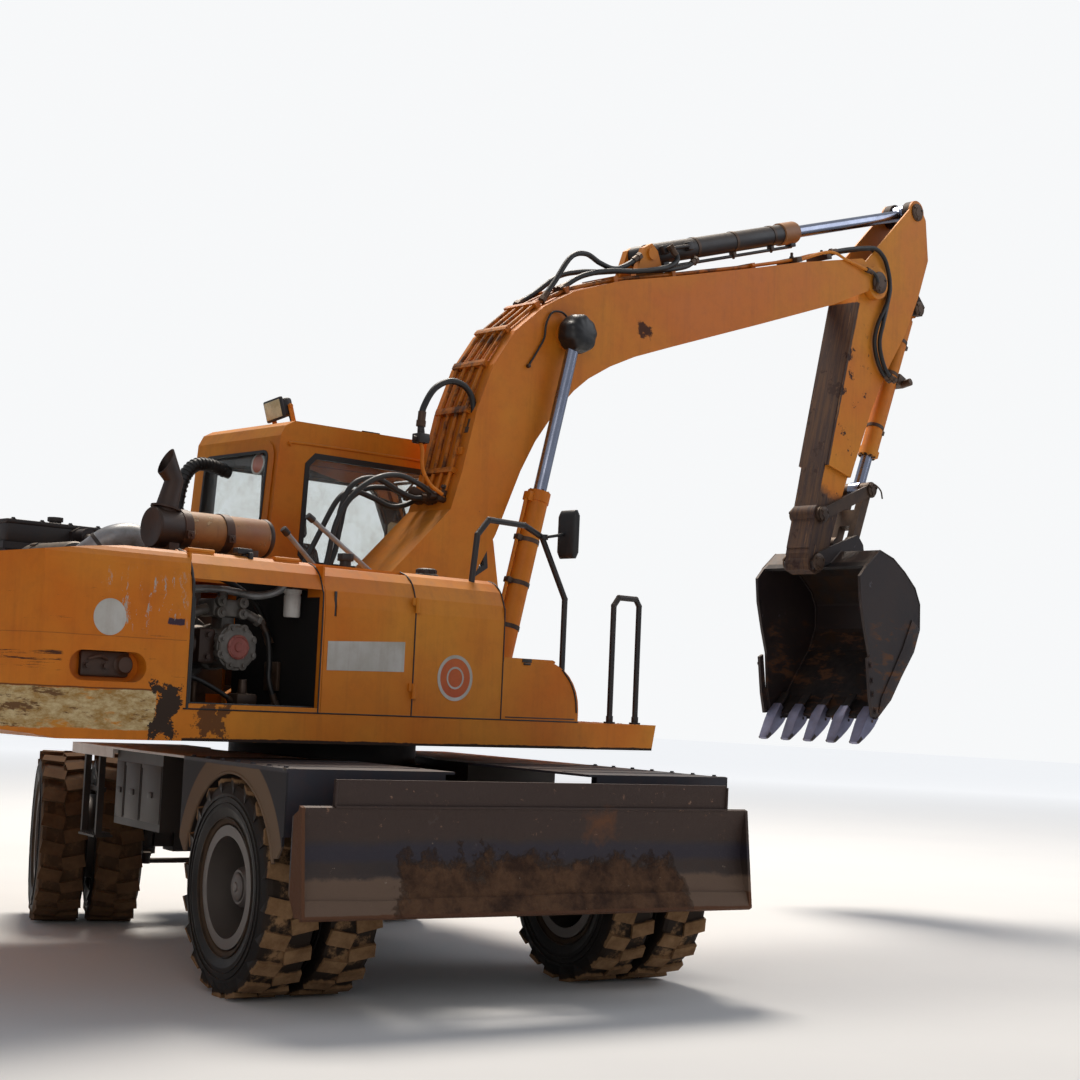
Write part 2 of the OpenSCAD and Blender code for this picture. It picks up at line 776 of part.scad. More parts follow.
// Side door of the valve bay, hinged at its front edge
module right_door() {
    t = panel_t;
    x0 = bay_x1 + 12 + 3;
    x1 = door_x1 - 3;
    face = [for (p = side_face) [p[0], p[1] + (p == side_face[0] ? 4 : 0)]];
    color("darkorange")
        difference() {
            rail(concat(face, [[-half_w + 150, house_z1 - 20 - 3], [-half_w + 110, house_z1 - 45],
                               [-half_w + 65, 2010], [-half_w + t, 1950], [-half_w + t, frame_z1 + 4]]),
                 x0, x1);
            block(x0 + 56, x0 + 72, -half_w - 1, -half_w + 12, 1840, 1970);
            block(x0 - 1, x1 + 1, -half_w + 100, 0, house_z1 - 21, house_z1 + 5);
        }
    color("darkorange")
        hinge_barrels(right_hinge, 1440 + hinge_h + cheek, 2, [-30, hinge_r]);
}

// Front tool box with a curved front, open above under its lid
module front_toolbox() {
    color("darkorange")
        difference() {
            slab(toolbox_shape, -half_w, -450);
            block(tank_x1 + 30, toolbox_x1 - 250, -half_w + 30, -480, frame_z1 + 30, toolbox_z1 + 10);
        }
    color("darkorange")
        for (y = [-1150, -600])
            lid_hinge_half(y);
}

// Half of the lid's hinge: a short barrel across the machine and its foot
module lid_hinge_half(y) {
    cross_bar(lid_hinge, y, y + 40, lid_hinge_r);
    block(lid_hinge[0] - 5, lid_hinge[0] + 2, y, y + 40, 1670, lid_hinge[1]);
}

// Lid of the front tool box, hinged at its rear edge
module toolbox_lid() {
    z1 = toolbox_z1;
    color("darkorange")
        difference() {
            union() {
                slab([[tank_x1 + 12, z1 - 20 + cheek], [toolbox_x1 - 200, z1 - 20 + cheek],
                      [toolbox_x1 - 195, z1 - 8], [toolbox_x1 - 215, z1], [tank_x1 + 12, z1]], -half_w, -450);
                for (y = [-1150, -600])
                    cross_bar(lid_hinge, y + 40 + cheek, y + 80, lid_hinge_r);
            }
            for (y = [-1150, -600])
                block(tank_x1, lid_hinge[0] + 9, y - 2, y + 40 + cheek, 1600, 1720);
        }
}

// Engine across the tail as one block, with its sump and valve cover
module engine() {
    color("#4b4f50") {
        block(-1560, -940, -330, 520, 1420, 1850);
        block(-1480, -1020, -300, 330, 1250, 1420);
        block(-1420, -1080, -290, 480, 1850, 1960);
        for (x = [-1460, -1100])
            block(x, x + 60, -300, 330, frame_z0 + 20, 1250);
    }
}

// Twin hydraulic pump on the engine's right end
module pump() {
    at = [-1300, 1660];
    color("#8a8580") {
        cross_bar(at, -520, -330, 170);
        cross_bar(at, -760, -520, 115);
        cross_bar(at, -800, -760, 128);
        cross_bar(at, -815, -800, 72);
        block(-1400, -1230, -740, -560, 1775, 1860);
        translate([-1060, -880, 1700])
            cylinder(h = 170, r = 48, $fn = 48);
        block(-1110, bay_x1, -920, -840, 1870, 1885);
    }
}

// Silencer along the machine on its two straps, with the kinked stack
module muffler() {
    y = -700;
    z = 2245;
    color("sienna") {
        translate([-1660, y, z])
            rotate([0, 90, 0])
                cylinder(h = 690, r = 100, $fn = 64);
        for (x = [-1590, -1110]) {
            translate([x, y, z])
                rotate([0, 90, 0])
                    cylinder(h = 60, r = 104, $fn = 64);
            block(x, x + 60, y - 70, y + 70, house_z1, z - 70);
        }
        rod_between([-1520, y, z + 90], [-1500, y, z + 290], 55, 48);
        difference() {
            rod_between([-1500, y, z + 285], [-1640, y, z + 470], 52, 48);
            translate([-1700, y - 100, z + 380])
                rotate([0, -20, 0])
                    block(-60, 20, 0, 200, -60, 130);
        }
    }
}

// Radiator and oil cooler stack on the left with its fan shroud
module cooler_pack() {
    color("#1d1d1f") {
        block(-1640, -840, cooler_y0, cooler_y0 + 150, frame_z1, 2190);
        block(-1660, -820, cooler_y0 - 10, cooler_y0 + 160, 2190, 2230);
        translate([-1240, cooler_y0 - 180, 1750])
            rotate([-90, 0, 0])
                difference() {
                    cylinder(h = 180, r = 360, $fn = 96);
                    translate([0, 0, -1])
                        cylinder(h = 200, r = 345, $fn = 96);
                }
    }
}

// Fan on the engine's left end, in the shroud
module fan() {
    color("#26282a")
        translate([-1240, 520, 1750])
            rotate([-90, 0, 0]) {
                cylinder(h = cooler_y0 - 80 - 520, r = 60, $fn = 48);
                for (i = [0 : 7])
                    rotate([0, 0, i * 45])
                        translate([0, 0, cooler_y0 - 145 - 520])
                            rotate([25, 0, 0])
                                translate([50, -6, -35])
                                    cube([275, 12, 70]);
            }
}

// Air cleaner across the tail and the large intake elbow
module air_cleaner() {
    color("#6d6f70") {
        translate([-1620, 100, 2085])
            rotate([-90, 0, 0])
                cylinder(h = 460, r = 118, $fn = 64);
        for (y = [160, 460])
            block(-1690, -1500, y, y + 20, 1850, 2010);
        bent_tube([[-1620, 100, 2085], [-1620, -120, 2110], [-1570, -225, 2110], [-1495, -240, 2010],
                   [-1495, -240, 1850]], 70);
    }
}

// Left rear housing: posts, top rail and front box behind the cab
module left_housing() {
    wall = 20;
    x1 = cab_x0 - 45;
    color("darkorange") {
        rail(concat(left_face, [for (i = [5 : -1 : 0]) left_face[i] - [wall, i > 3 ? wall : 0]]),
             seam_x, seam_x + 40);
        rail(concat(left_face, [[half_w - 150, house_z1 - wall], [450, house_z1 - wall],
                                [450, house_z1 - 2 * wall], [half_w - wall - 80, house_z1 - 2 * wall],
                                [half_w - wall - 40, 2020], [half_w - wall, 1900], [half_w - wall, frame_z1]]),
             -700, x1);
        block(seam_x + 40, -700, half_w - 170, half_w - 110, house_z1 - 40, house_z1 - 15);
        block(-700, -680, 450, half_w - wall, frame_z1, house_z1 - 2 * wall);
        block(x1 - 20, x1, 450, half_w - wall, frame_z1, house_z1 - 2 * wall);
        hinge_barrels(left_hinge, 1440, 2, [30, -hinge_r]);
    }
}

// Louvred door over the cooler, hinged at its front edge
module left_door() {
    x0 = seam_x + 43;
    x1 = -703;
    color("darkorange")
        difference() {
            rail(concat([[half_w, frame_z1 + 4]], [for (i = [1 : 4]) left_face[i]],
                        [[half_w - 105, 2060], [half_w - 75, 2010], [half_w - panel_t, 1940],
                         [half_w - panel_t, frame_z1 + 4]]), x0, x1);
            for (i = [0 : 8])
                for (x = [x0 + 90, x0 + 530])
                    block(x, x + 380, half_w - 60, half_w + 10, 1480 + i * 45, 1500 + i * 45);
        }
    color("darkorange")
        hinge_barrels(left_hinge, 1440 + hinge_h + cheek, 2, [-30, -hinge_r]);
}

// Cab

cab_front = [[cab_x1, 1370], [cab_x1 + 20, 2000], [cab_x1 - 80, 2500], [cab_x1 - 300, 2950],
             [cab_x1 - 380, 3050]];
// Half of the width inside the cab
cab_room = (half_w - cab_y0) / 2 - cab_wall;
cab_outer = concat([[cab_x0, 1370]], cab_front,
                   [[cab_x1 - 480, cab_z1], [cab_x0 + 140, cab_z1 - 5], [cab_x0 + 75, cab_z1 - 40],
                    [cab_x0 + 40, 2985], [cab_x0, 2390]]);
cab_inner = [[cab_x0 + cab_wall, 1410], [cab_x1 - cab_wall, 1410], [cab_x1 + 20 - cab_wall, 2000],
             [cab_x1 - 80 - cab_wall, 2490], [cab_x1 - 300 - cab_wall, 2930], [cab_x1 - 400 - cab_wall, 3010],
             [cab_x1 - 500, 3040], [cab_x0 + 160, 3035], [cab_x0 + 110, 2990], [cab_x0 + 45 + cab_wall, 2970],
             [cab_x0 + cab_wall, 2390]];
side_window = [[0, 2280], [60, 2225], [1330, 2225], [1500, 2330], [1480, 2480], [1290, 2860], [1230, 2890],
               [80, 2890], [20, 2830]];
door_edge = [[420, 1420], [1560, 1420], [1585, 2000], [1490, 2480], [1300, 2900], [1240, 2960], [470, 2960],
             [420, 2910]];
door_window = [[500, 2030], [1500, 2030], [1490, 2110], [1420, 2460], [1240, 2840], [1190, 2880], [530, 2880],
               [500, 2850]];
rear_quarter = [[-90, 2280], [330, 2280], [330, 2870], [-30, 2870], [-60, 2840]];

// The cab's panels and frame, with its windows and door opening cut
module cab_shell() {
    y1 = half_w;
    color("darkorange")
        difference() {
            union() {
                slab(cab_outer, cab_y0, y1);
                for (x = [-60, 1350])
                    for (y = [cab_y0 + 140, y1 - 160])
                        translate([x, y, frame_z1])
                            cylinder(h = 30, r = 60, $fn = 32);
                block(0, 120, 640, 760, cab_z1 - 15, cab_z1 + 12);
                hinge_barrels(cab_hinge, 1560, 3, [-30, -hinge_r]);
            }
            slab(cab_inner, cab_y0 + cab_wall, y1 - cab_wall);
            slab(side_window, cab_y0 - 5, cab_y0 + cab_wall + 5);
            slab(door_edge, y1 - cab_wall - 5, y1 + 5);
            slab(rear_quarter, y1 - cab_wall - 5, y1 + 5);
            block(cab_x0 - 20, cab_x0 + 190, cab_y0 + 85, y1 - 110, 2430, 2910);
            slab([[cab_x1 - 190, 2060], [cab_x1 + 60, 2060], [cab_x1 - 60, 2560], [cab_x1 - 250, 2925],
                  [cab_x1 - 420, 2925]], cab_y0 + 75, y1 - 75);
            block(cab_x1 - 100, cab_x1 + 60, cab_y0 + 95, y1 - 95, 1500, 1980);
        }
}

// Fixed panes of the cab
module cab_glass() {
    m = cab_wall / 2;
    color([0.5, 0.6, 0.65, 0.4]) {
        slab(side_window, cab_y0 + m, cab_y0 + m + glass_t);
        slab(rear_quarter, half_w - m - glass_t, half_w - m);
        slab([[cab_x0 + 27, 2430], [cab_x0 + 33, 2430], [cab_x0 + 60, 2910], [cab_x0 + 54, 2910]],
             cab_y0 + 85, half_w - 110);
        slab([[cab_x1 - 28, 2060], [cab_x1 - 22, 2060], [cab_x1 - 106, 2500], [cab_x1 - 312, 2925],
              [cab_x1 - 318, 2925], [cab_x1 - 112, 2500]], cab_y0 + 75, half_w - 75);
        block(cab_x1 - 30, cab_x1 - 24, cab_y0 + 95, half_w - 95, 1500, 1980);
    }
}

// Cab door, hinged at its rear edge
module cab_door() {
    g = 5;
    inset = [[g, g], [-g, g], [-g, 0], [-g, -g / 2], [-g, -g], [-g / 2, -g], [g, -g], [g, -g]];
    color("darkorange")
        difference() {
            slab(door_edge + inset, half_w - cab_wall + 2, half_w);
            slab(door_window, half_w - cab_wall - 5, half_w + 5);
            block(560, 700, half_w - 14, half_w + 5, 1900, 1950);
        }
    color("darkorange")
        hinge_barrels(cab_hinge, 1560 + hinge_h + cheek, 3, [30, -hinge_r]);
}

module door_glass() {
    color([0.5, 0.6, 0.65, 0.4])
        slab(door_window, half_w - 30, half_w - 24);
}

// Driver's seat: base, cushion, back and head rest
module seat() {
    y = (cab_y0 + half_w) / 2;
    half = 0.63 * cab_room;
    color("#2c2f3a") {
        block(330, 680, y - 160, y + 160, 1410, 1640);
        block(280, 800, y - half, y + half, 1640, 1770);
        slab([[250, 1770], [400, 1770], [300, 2400], [180, 2400]], y - half + 10, y + half - 10);
        slab([[190, 2400], [290, 2400], [270, 2600], [190, 2600]], y - 140, y + 140);
    }
}

// Side consoles with their levers, steering column and wheel
module console() {
    y = (cab_y0 + half_w) / 2;
    color("#3c3f42") {
        for (side = [y - 0.785 * cab_room, y + 0.785 * cab_room]) {
            block(330, 860, side - 0.146 * cab_room, side + 0.146 * cab_room, 1410, 1900);
            rod_between([800, side, 1895], [840, side, 2140], 14);
            translate([840, side, 2140])
                sphere(r = 28, $fn = 24);
        }
        block(1265, 1395, y - 65, y + 65, 1410, 1434);
        rod_between([1327, y, 1424], [1203, y, 2094], 45, 32);
        translate([1203, y, 2090])
            rotate([0, -14, 0])
                rotate_extrude($fn = 64)
                    translate([185, 0])
                        circle(r = 14, $fn = 24);
        for (a = [0, 120, 240])
            translate([1203, y, 2090])
                rotate([0, -14, 0])
                    rotate([0, 0, a])
                        translate([0, -12, -8])
                            cube([180, 24, 16]);
    }
}

// Hand rails of the right side: over the tool box and beside the walkway
module handrails() {
    r = 17;
    y = -1120;
    color("#1b1b1b") {
        difference() {
            bent_tube([[120, y, house_z1 - 40], [150, y, 2360], [230, y, 2450], [500, y, 2445],
                       [640, y, 2390], [840, y, 2050], [840, y, 1480]], r);
            translate([0, 0, cheek]) {
                rail(tank_shape, door_x1, tank_x1);
                slab(toolbox_shape, -half_w, -450);
            }
        }
        bent_tube([[1245, y, frame_z1 + cheek], [1245, y, 2040], [1285, y, 2090], [1430, y, 2090],
                   [1460, y, 2050], [1460, y, frame_z1 + cheek]], r);
    }
}

// Door mirrors on their stalks
module mirrors() {
    color("#202224") {
        bent_tube([[640, -1138.4, 2390], [640, -1165, 2390], [760, -1200, 2420]], 10);
        block(735, 775, -1290, -1130, 2270, 2560);
    }
}

// Work lamp on the cab roof
module work_lamp() {
    y = 700;
    color("#b9a878") {
        block(20, 90, y - 30, y + 30, cab_z1 + 12, cab_z1 + 40);
        block(-10, 110, y - 95, y + 95, cab_z1 + 40, cab_z1 + 185);
    }
}

// Boom, arm and bucket

// Upper and lower edges of the boom, from the foot to the nose
boom_back = [[10, 1945], [691, 2600], [770, 2845], [864, 3234], [987, 3542], [1157, 3786], [1398, 3986],
             [1651, 4127], [2094, 4284], [2663, 4427], [3500, 4651], [3945, 4776], [4704, 4956]];
boom_belly = [[160, 1790], [906, 2216], [1065, 2479], [1252, 2902], [1365, 3102], [1524, 3311],
              [1689, 3478], [1816, 3577], [2013, 3689], [2240, 3790], [2592, 3915], [3521, 4237],
              [4367, 4536], [4788, 4717]];

// Boxed boom of four plates with its foot, nose and cylinder bosses
module boom() {
    t = 14;
    outline = concat(boom_back, [[4843, 4900]], [for (i = [len(boom_belly) - 1 : -1 : 0]) boom_belly[i]]);
    color("darkorange")
        difference() {
            union() {
                for (s = [-1, 1])
                    centred_slab(outline, boom_y + s * (boom_half - t / 2), t / 2);
                slab(strip(boom_back, -t), boom_y - boom_half + t, boom_y + boom_half - t);
                slab(strip(boom_belly, t), boom_y - boom_half + t, boom_y + boom_half - t);
                cross_bar(foot_pin, boom_y - boom_half, boom_y + boom_half, 115);
                for (s = [-1, 1]) {
                    cross_bar(nose_pin, boom_y + s * 175 - 30, boom_y + s * 175 + 30, 125);
                    cross_bar(boom_cyl_eye, boom_y + s * 170 - 45, boom_y + s * 170 + 45, 95);
                }
            }
            cross_bar(foot_pin, boom_y - 400, boom_y + 400, 55 + fit);
            slab([[4450, 5100], [4450, 4400], [5300, 4400], [5300, 5100]], boom_y - arm_half - 5,
                 boom_y + arm_half + 5);
        }
    color("silver")
        cross_bar(nose_pin, boom_y - boom_half - 12, boom_y + boom_half + 12, 50);
    color("darkorange")
        arm_cylinder_bracket();
}

// Two lug plates and the foot pin of the arm cylinder, standing on the boom's back
module arm_cylinder_bracket() {
    back = len(boom_back) - 5;
    n = cheek * left_of(boom_back[back + 1] - boom_back[back]);
    slope = (boom_back[back + 1] - boom_back[back]) / (boom_back[back + 1][0] - boom_back[back][0]);
    foot = [for (x = [2310, 2610]) boom_back[back] + n + (x - boom_back[back][0]) * slope];
    for (s = [-1, 1])
        slab([foot[0], foot[1], [2532, 4590], arm_cyl_foot + [0, 75], [2400, 4590]],
             boom_y + s * 80.15 - 24.85, boom_y + s * 80.15 + 24.85);
    cross_bar(arm_cyl_foot, boom_y - 120, boom_y + 120, 42);
}

// Rigid pipes up the back of the boom. Each straight length ends inside a clamp block at the bend.
pipe_r = 13;
pipe_lift = 20;
module boom_pipes() {
    first = 2;
    last = len(boom_back) - 3;
    path = [for (k = [first : last]) boom_back[k] + pipe_lift * left_of(edge_dir(boom_back, k))];
    color("darkorange") {
        for (y = [-120, -40, 40, 120])
            for (i = [0 : len(path) - 2]) {
                step = 3 * (path[i + 1] - path[i]) / norm(path[i + 1] - path[i]);
                rod_between([path[i][0] + step[0], boom_y + y, path[i][1] + step[1]],
                            [path[i + 1][0] - step[0], boom_y + y, path[i + 1][1] - step[1]], pipe_r);
            }
        for (k = [first : last]) {
            p = boom_back[k] + cheek * left_of(edge_dir(boom_back, k));
            before = (boom_back[k] - boom_back[k - 1]) / norm(boom_back[k] - boom_back[k - 1]);
            after = (boom_back[k + 1] - boom_back[k]) / norm(boom_back[k + 1] - boom_back[k]);
            slab([p - 18 * before, p, p + 18 * after, p + 18 * after + 2 * pipe_lift * left_of(after),
                  p + 2 * pipe_lift * left_of(edge_dir(boom_back, k)),
                  p - 18 * before + 2 * pipe_lift * left_of(before)], boom_y - 150, boom_y + 150);
        }
    }
}

module at_boom_cylinders() {
    for (y = [boom_y - 287.5, boom_y + 287.5])
        translate([0, y, 0])
            aim(boom_cyl_foot, boom_cyl_eye)
                children();
}

module boom_barrels() {
    color("darkorange")
        at_boom_cylinders()
            barrel(boom_barrel_len, boom_barrel_r, boom_rod_r, 72, 74, 40);
}

module boom_rods() {
    color("silver")
        at_boom_cylinders()
            rod(952, norm(boom_cyl_eye - boom_cyl_foot), boom_rod_r, 80, 110);
}

// Arm points as [along the arm, out from it] from the nose pin
arm_dir = (bucket_pin - nose_pin) / norm(bucket_pin - nose_pin);
function on_arm(p) = nose_pin + p[0] * arm_dir + p[1] * [-arm_dir[1], arm_dir[0]];
arm_outline = [for (p = [[-120, -125], [2240, -95], [2360, -60], [2368, 30], [2330, 85], [2200, 120],
                         [1633, 175], [1451, 200], [948, 284], [583, 379], [195, 526], [-170, 604],
                         [-500, 640], [-800, 520], [-880, 420], [-820, 310]]) on_arm(p)];
arm_underside = [for (p = [[-120, -125], [2200, -100]]) on_arm(p)];
arm_top = [for (p = [[2200, 120], [1633, 175], [1451, 200], [948, 284], [583, 379], [195, 526], [-170, 604],
                     [-500, 640]]) on_arm(p)];

arm_tip = [for (p = [[1520, -110], [2240, -95], [2360, -60], [2368, 30], [2330, 85], [2200, 120], [1633, 175],
                     [1520, 191]]) on_arm(p)];

// Boxed arm: two side plates, two edge plates and its bosses
module arm() {
    t = 14;
    color("darkorange")
        difference() {
            union() {
                for (s = [-1, 1])
                    centred_slab(arm_outline, boom_y + s * (arm_half - t / 2), t / 2);
                slab(strip(arm_underside, t), boom_y - arm_half + t, boom_y + arm_half - t);
                slab(strip(arm_top, t), boom_y - arm_half + t, boom_y + arm_half - t);
                slab(arm_tip, boom_y - tip_half, boom_y + tip_half);
                cross_bar(nose_pin, boom_y - arm_half, boom_y + arm_half, 120);
                cross_bar(idler_pin, boom_y - tip_half, boom_y + tip_half, 80);
                cross_bar(bucket_pin, boom_y - tip_half, boom_y + tip_half, 85);
                for (s = [-1, 1]) {
                    cross_bar(arm_cyl_eye, boom_y + s * 100 - 39, boom_y + s * 100 + 39, 95);
                    slab([for (p = [[10, 520], [-60, 740], [-150, 740], [-250, 560]]) on_arm(p)],
                         boom_y + s * 80 - 25 + (s < 0 ? 0 : cheek),
                         boom_y + s * 80 + 25 - (s < 0 ? cheek : 0));
                }
                cross_bar(bucket_cyl_foot, boom_y - 110, boom_y + 110, 38);
            }
            for (s = [-1, 1])
                slab([for (p = [[1540, -300], [2600, -300], [2600, 400], [1540, 400]]) on_arm(p)],
                     boom_y + s * (tip_half + 40) - 40, boom_y + s * (tip_half + 40) + 40);
            slab([for (p = [[-1000, 250], [-640, 250], [-640, 800], [-1000, 800]]) on_arm(p)],
                 boom_y - 60, boom_y + 60);
            for (at = [nose_pin, bucket_pin, idler_pin])
                cross_bar(at, boom_y - 400, boom_y + 400, at == nose_pin ? 50 + fit : 45 + fit);
        }
}

module arm_barrel() {
    color("#2a2421")
        translate([0, boom_y, 0])
            aim(arm_cyl_foot, arm_cyl_eye)
                barrel(arm_barrel_len, arm_barrel_r, arm_rod_r, 72, 110, 42);
}

module arm_rod() {
    color("silver")
        translate([0, boom_y, 0])
            aim(arm_cyl_foot, arm_cyl_eye)
                rod(1400, norm(arm_cyl_eye - arm_cyl_foot), arm_rod_r, 78, 110);
}

module bucket_barrel() {
    color("darkorange")
        translate([0, boom_y, 0])
            aim(bucket_cyl_foot, rod_pin)
                barrel(bucket_barrel_len, bucket_barrel_r, arm_rod_r, 68, 110, 38);
}

module bucket_rod() {
    color("silver")
        translate([0, boom_y, 0])
            aim(bucket_cyl_foot, rod_pin)
                rod(250, norm(rod_pin - bucket_cyl_foot), arm_rod_r, 68, 2 * link_in - 2 * cheek);
}

// Pair of idler links outside the arm, with their pins
module idler_links() {
    y0 = tip_half + cheek;
    color("#6b5b4a")
        for (s = [-1, 1]) {
            n = 45 * left_of(rod_pin - idler_pin);
            slab([idler_pin + n, rod_pin + n, rod_pin - n, idler_pin - n],
                 boom_y + s * (y0 + 14) - 14, boom_y + s * (y0 + 14) + 14);
            for (at = [idler_pin, rod_pin])
                cross_bar(at, boom_y + s * (y0 + 14) - 14, boom_y + s * (y0 + 14) + 14, 62);
            cross_bar(idler_pin, boom_y + s * 60 - 55, boom_y + s * 60 + 55, 45);
        }
}

// Coupling link between the rod pin and the bucket
link_in = 50;
module bucket_link() {
    mid = (link_in + tip_half) / 2;
    wide = (tip_half - link_in) / 2;
    color("#6b5b4a")
        for (s = [-1, 1]) {
            n = 40 * left_of(link_pin - rod_pin);
            centred_slab([rod_pin + n, link_pin + n, link_pin - n, rod_pin - n], boom_y + s * mid, wide);
            for (at = [rod_pin, link_pin])
                cross_bar(at, boom_y + s * mid - wide, boom_y + s * mid + wide, 60);
            slab([rod_pin + 0.4 * (link_pin - rod_pin) + n, rod_pin + 0.7 * (link_pin - rod_pin) + n,
                  rod_pin + 0.7 * (link_pin - rod_pin) - n, rod_pin + 0.4 * (link_pin - rod_pin) - n],
                 boom_y - link_in - 2, boom_y + link_in + 2);
        }
}

bucket_back = [[4470, 2560], [4627, 2690], [4800, 2640], [4945, 2550], [5080, 2440], [5145, 2320],
               [5150, 2130], [5078, 1950], [4927, 1755], [4805, 1580], [4632, 1435]];
bucket_cheek = concat(bucket_back, [[4600, 1480], [4560, 1635], [4535, 1910], [4475, 2090], [4416, 2300],
                                    [4396, 2480]]);

// Bucket: back sheet, cheeks, cutting lip, hinge lugs, five teeth and side cutters
module bucket() {
    y0 = tip_half + cheek;
    lip = [4632, 1435];
    bite = [4466, 1258];
    across = left_of(bite - lip);
    color("#5a4636")
        union() {
            union() {
                slab(strip(bucket_back, -bucket_t), boom_y - bucket_half, boom_y + bucket_half);
                for (s = [-1, 1]) {
                    centred_slab(bucket_cheek, boom_y + s * (bucket_half - 12), 12);
                    centred_slab([[4640, 1460], [4560, 1640], [4520, 1900], [4480, 1880], [4520, 1600],
                                  [4560, 1450]], boom_y + s * (bucket_half + 12), 12);
                    centred_slab([bucket_pin + [-67, 0], bucket_pin + [-45, -60], [4500, 2585],
                                  [4627, 2680], [4800, 2640], [4945, 2560], link_pin + [70, 0],
                                  link_pin + [0, 70], bucket_pin + [0, 72]], boom_y + s * (y0 + 15), 15);
                }
                cross_bar(bucket_pin, boom_y - y0 - 30, boom_y + y0 + 30, 45);
                for (i = [-2 : 2])
                    slab([lip + 42 * across, bite + 8 * across, bite - 8 * across, lip - 30 * across,
                          lip - 30 * across - 0.3 * (bite - lip)],
                         boom_y + i * 215 - 42, boom_y + i * 215 + 42);
            }
        }
}

chassis_frame();
slew_ring();
fixed_axle();
steer_axle();
drive_train();
tool_boxes();
deck_plates();
fenders();
knuckle_left();
knuckle_right();
tie_rod();
tyres_steer_left();
tyres_steer_right();
tyres_blade_left();
tyres_blade_right();
rims_steer_left();
rims_steer_right();
rims_blade_left();
rims_blade_right();
blade_arms();
blade_links();
dozer_blade();
blade_barrels();
blade_rods();
upper_frame();
counterweight();
pump_bay();
tank_housing();
right_door();
front_toolbox();
toolbox_lid();
engine();
pump();
muffler();
cooler_pack();
fan();
air_cleaner();
left_housing();
left_door();
cab_shell();
cab_glass();
cab_door();
door_glass();
seat();
console();
handrails();
mirrors();
work_lamp();
boom();
boom_pipes();
boom_barrels();
boom_rods();
arm();
arm_barrel();
arm_rod();
bucket_barrel();
bucket_rod();
idler_links();
bucket_link();
bucket();
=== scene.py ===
"""Looks of the wheeled excavator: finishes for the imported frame, then hoses, glass, trim, soft parts and the studio."""

import math

import bmesh
import bpy
from mathutils import Matrix, Vector


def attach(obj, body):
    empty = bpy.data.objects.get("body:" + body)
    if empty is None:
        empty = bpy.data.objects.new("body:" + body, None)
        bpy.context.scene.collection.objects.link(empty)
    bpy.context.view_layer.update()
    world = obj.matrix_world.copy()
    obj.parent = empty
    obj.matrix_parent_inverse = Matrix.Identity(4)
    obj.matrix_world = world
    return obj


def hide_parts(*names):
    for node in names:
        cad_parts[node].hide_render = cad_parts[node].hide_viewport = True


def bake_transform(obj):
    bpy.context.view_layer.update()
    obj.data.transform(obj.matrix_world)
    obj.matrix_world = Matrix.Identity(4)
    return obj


bl_info = {
    "name": "Wheeled excavator looks",
    "version": (1, 0, 0),
    "blender": (4, 5, 0),
    "location": "3D View > Sidebar > Excavator",
    "description": "Dresses the packed frame of a wheeled excavator",
    "category": "Object",
}

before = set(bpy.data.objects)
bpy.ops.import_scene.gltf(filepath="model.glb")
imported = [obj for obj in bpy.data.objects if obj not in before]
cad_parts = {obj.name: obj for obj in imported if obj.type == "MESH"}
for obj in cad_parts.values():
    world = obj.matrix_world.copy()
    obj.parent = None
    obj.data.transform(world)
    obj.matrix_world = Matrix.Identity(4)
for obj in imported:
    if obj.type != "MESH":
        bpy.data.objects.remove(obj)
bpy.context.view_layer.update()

# The undercarriage heads this way from the boom, and its own pieces are drawn along +X first
HEADING = math.radians(-101)
CHASSIS = Matrix.Rotation(HEADING, 4, "Z")

# Middle plane of the boom and arm, and the side faces of the upper structure
BOOM_Y = -0.035
RIGHT_FACE, LEFT_FACE = -1.2375, 1.2375

# Pins of the boom, arm and bucket, and each cylinder's two, as side-view [x, z]
FOOT_PIN, NOSE_PIN, BUCKET_PIN, IDLER_PIN = (0.085, 1.867), (4.907, 4.803), (4.356, 2.587), (4.403, 2.953)
BOOM_CYLINDER = (1.03, 1.5), (1.606, 3.824)
ARM_CYLINDER = (2.472, 4.557), (5.48, 5.495)
BUCKET_CYLINDER = (5.58, 4.73), (4.99, 3.2)
# The way the arm runs down from the nose pin
ARM_WAY = Vector((-0.2413, -0.9705))


def srgb(code):
    """Linear colour of a six-digit screen colour."""
    parts = [int(code[i : i + 2], 16) / 255 for i in (0, 2, 4)]
    return tuple(p / 12.92 if p <= 0.04045 else ((p + 0.055) / 1.055) ** 2.4 for p in parts)


def colour_property(name, description, code):
    return bpy.props.FloatVectorProperty(
        name=name, description=description, subtype="COLOR", size=3, min=0, max=1, default=srgb(code)
    )


class FinishSettings(bpy.types.PropertyGroup):
    """Colours and wear of the finishes"""

    body: colour_property("Body paint", "Orange paint of the upper structure and boom", "C96C10")
    body_faded: colour_property("Faded paint", "Orange where sun and washing have bleached it", "D08426")
    primer: colour_property("Primer", "Pale undercoat that shows in the chips", "C9C2B8")
    rust: colour_property("Rust", "Rust at chips and in seams", "5A2C16")
    dust: colour_property("Dust", "Dry soil that settles on flat faces", "A58B6C")
    # Darker than the dirty paint itself: painted shade under the upper structure
    chassis: colour_property("Chassis paint", "Dirty paint of the undercarriage", "332A24")
    navy: colour_property("Fender paint", "Dark blue of the fenders", "17171F")
    # Pale dusty paint, with painted sunlight making the plates' tops paler still
    deck: colour_property("Deck", "Pale dusty plates over the wheels", "DAD8D4")
    rubber: colour_property("Tyre", "Dusty rubber of the tyres", "171311")
    bucket: colour_property("Bucket", "Rusty scraped steel", "272123")
    chips: bpy.props.FloatProperty(
        name="Chips", description="Share of the paint that has chipped", subtype="FACTOR", min=0, max=1, default=0.3
    )
    dirt: bpy.props.FloatProperty(
        name="Dirt", description="How dirty the machine is", subtype="FACTOR", min=0, max=1, default=0.5
    )


# Node helpers


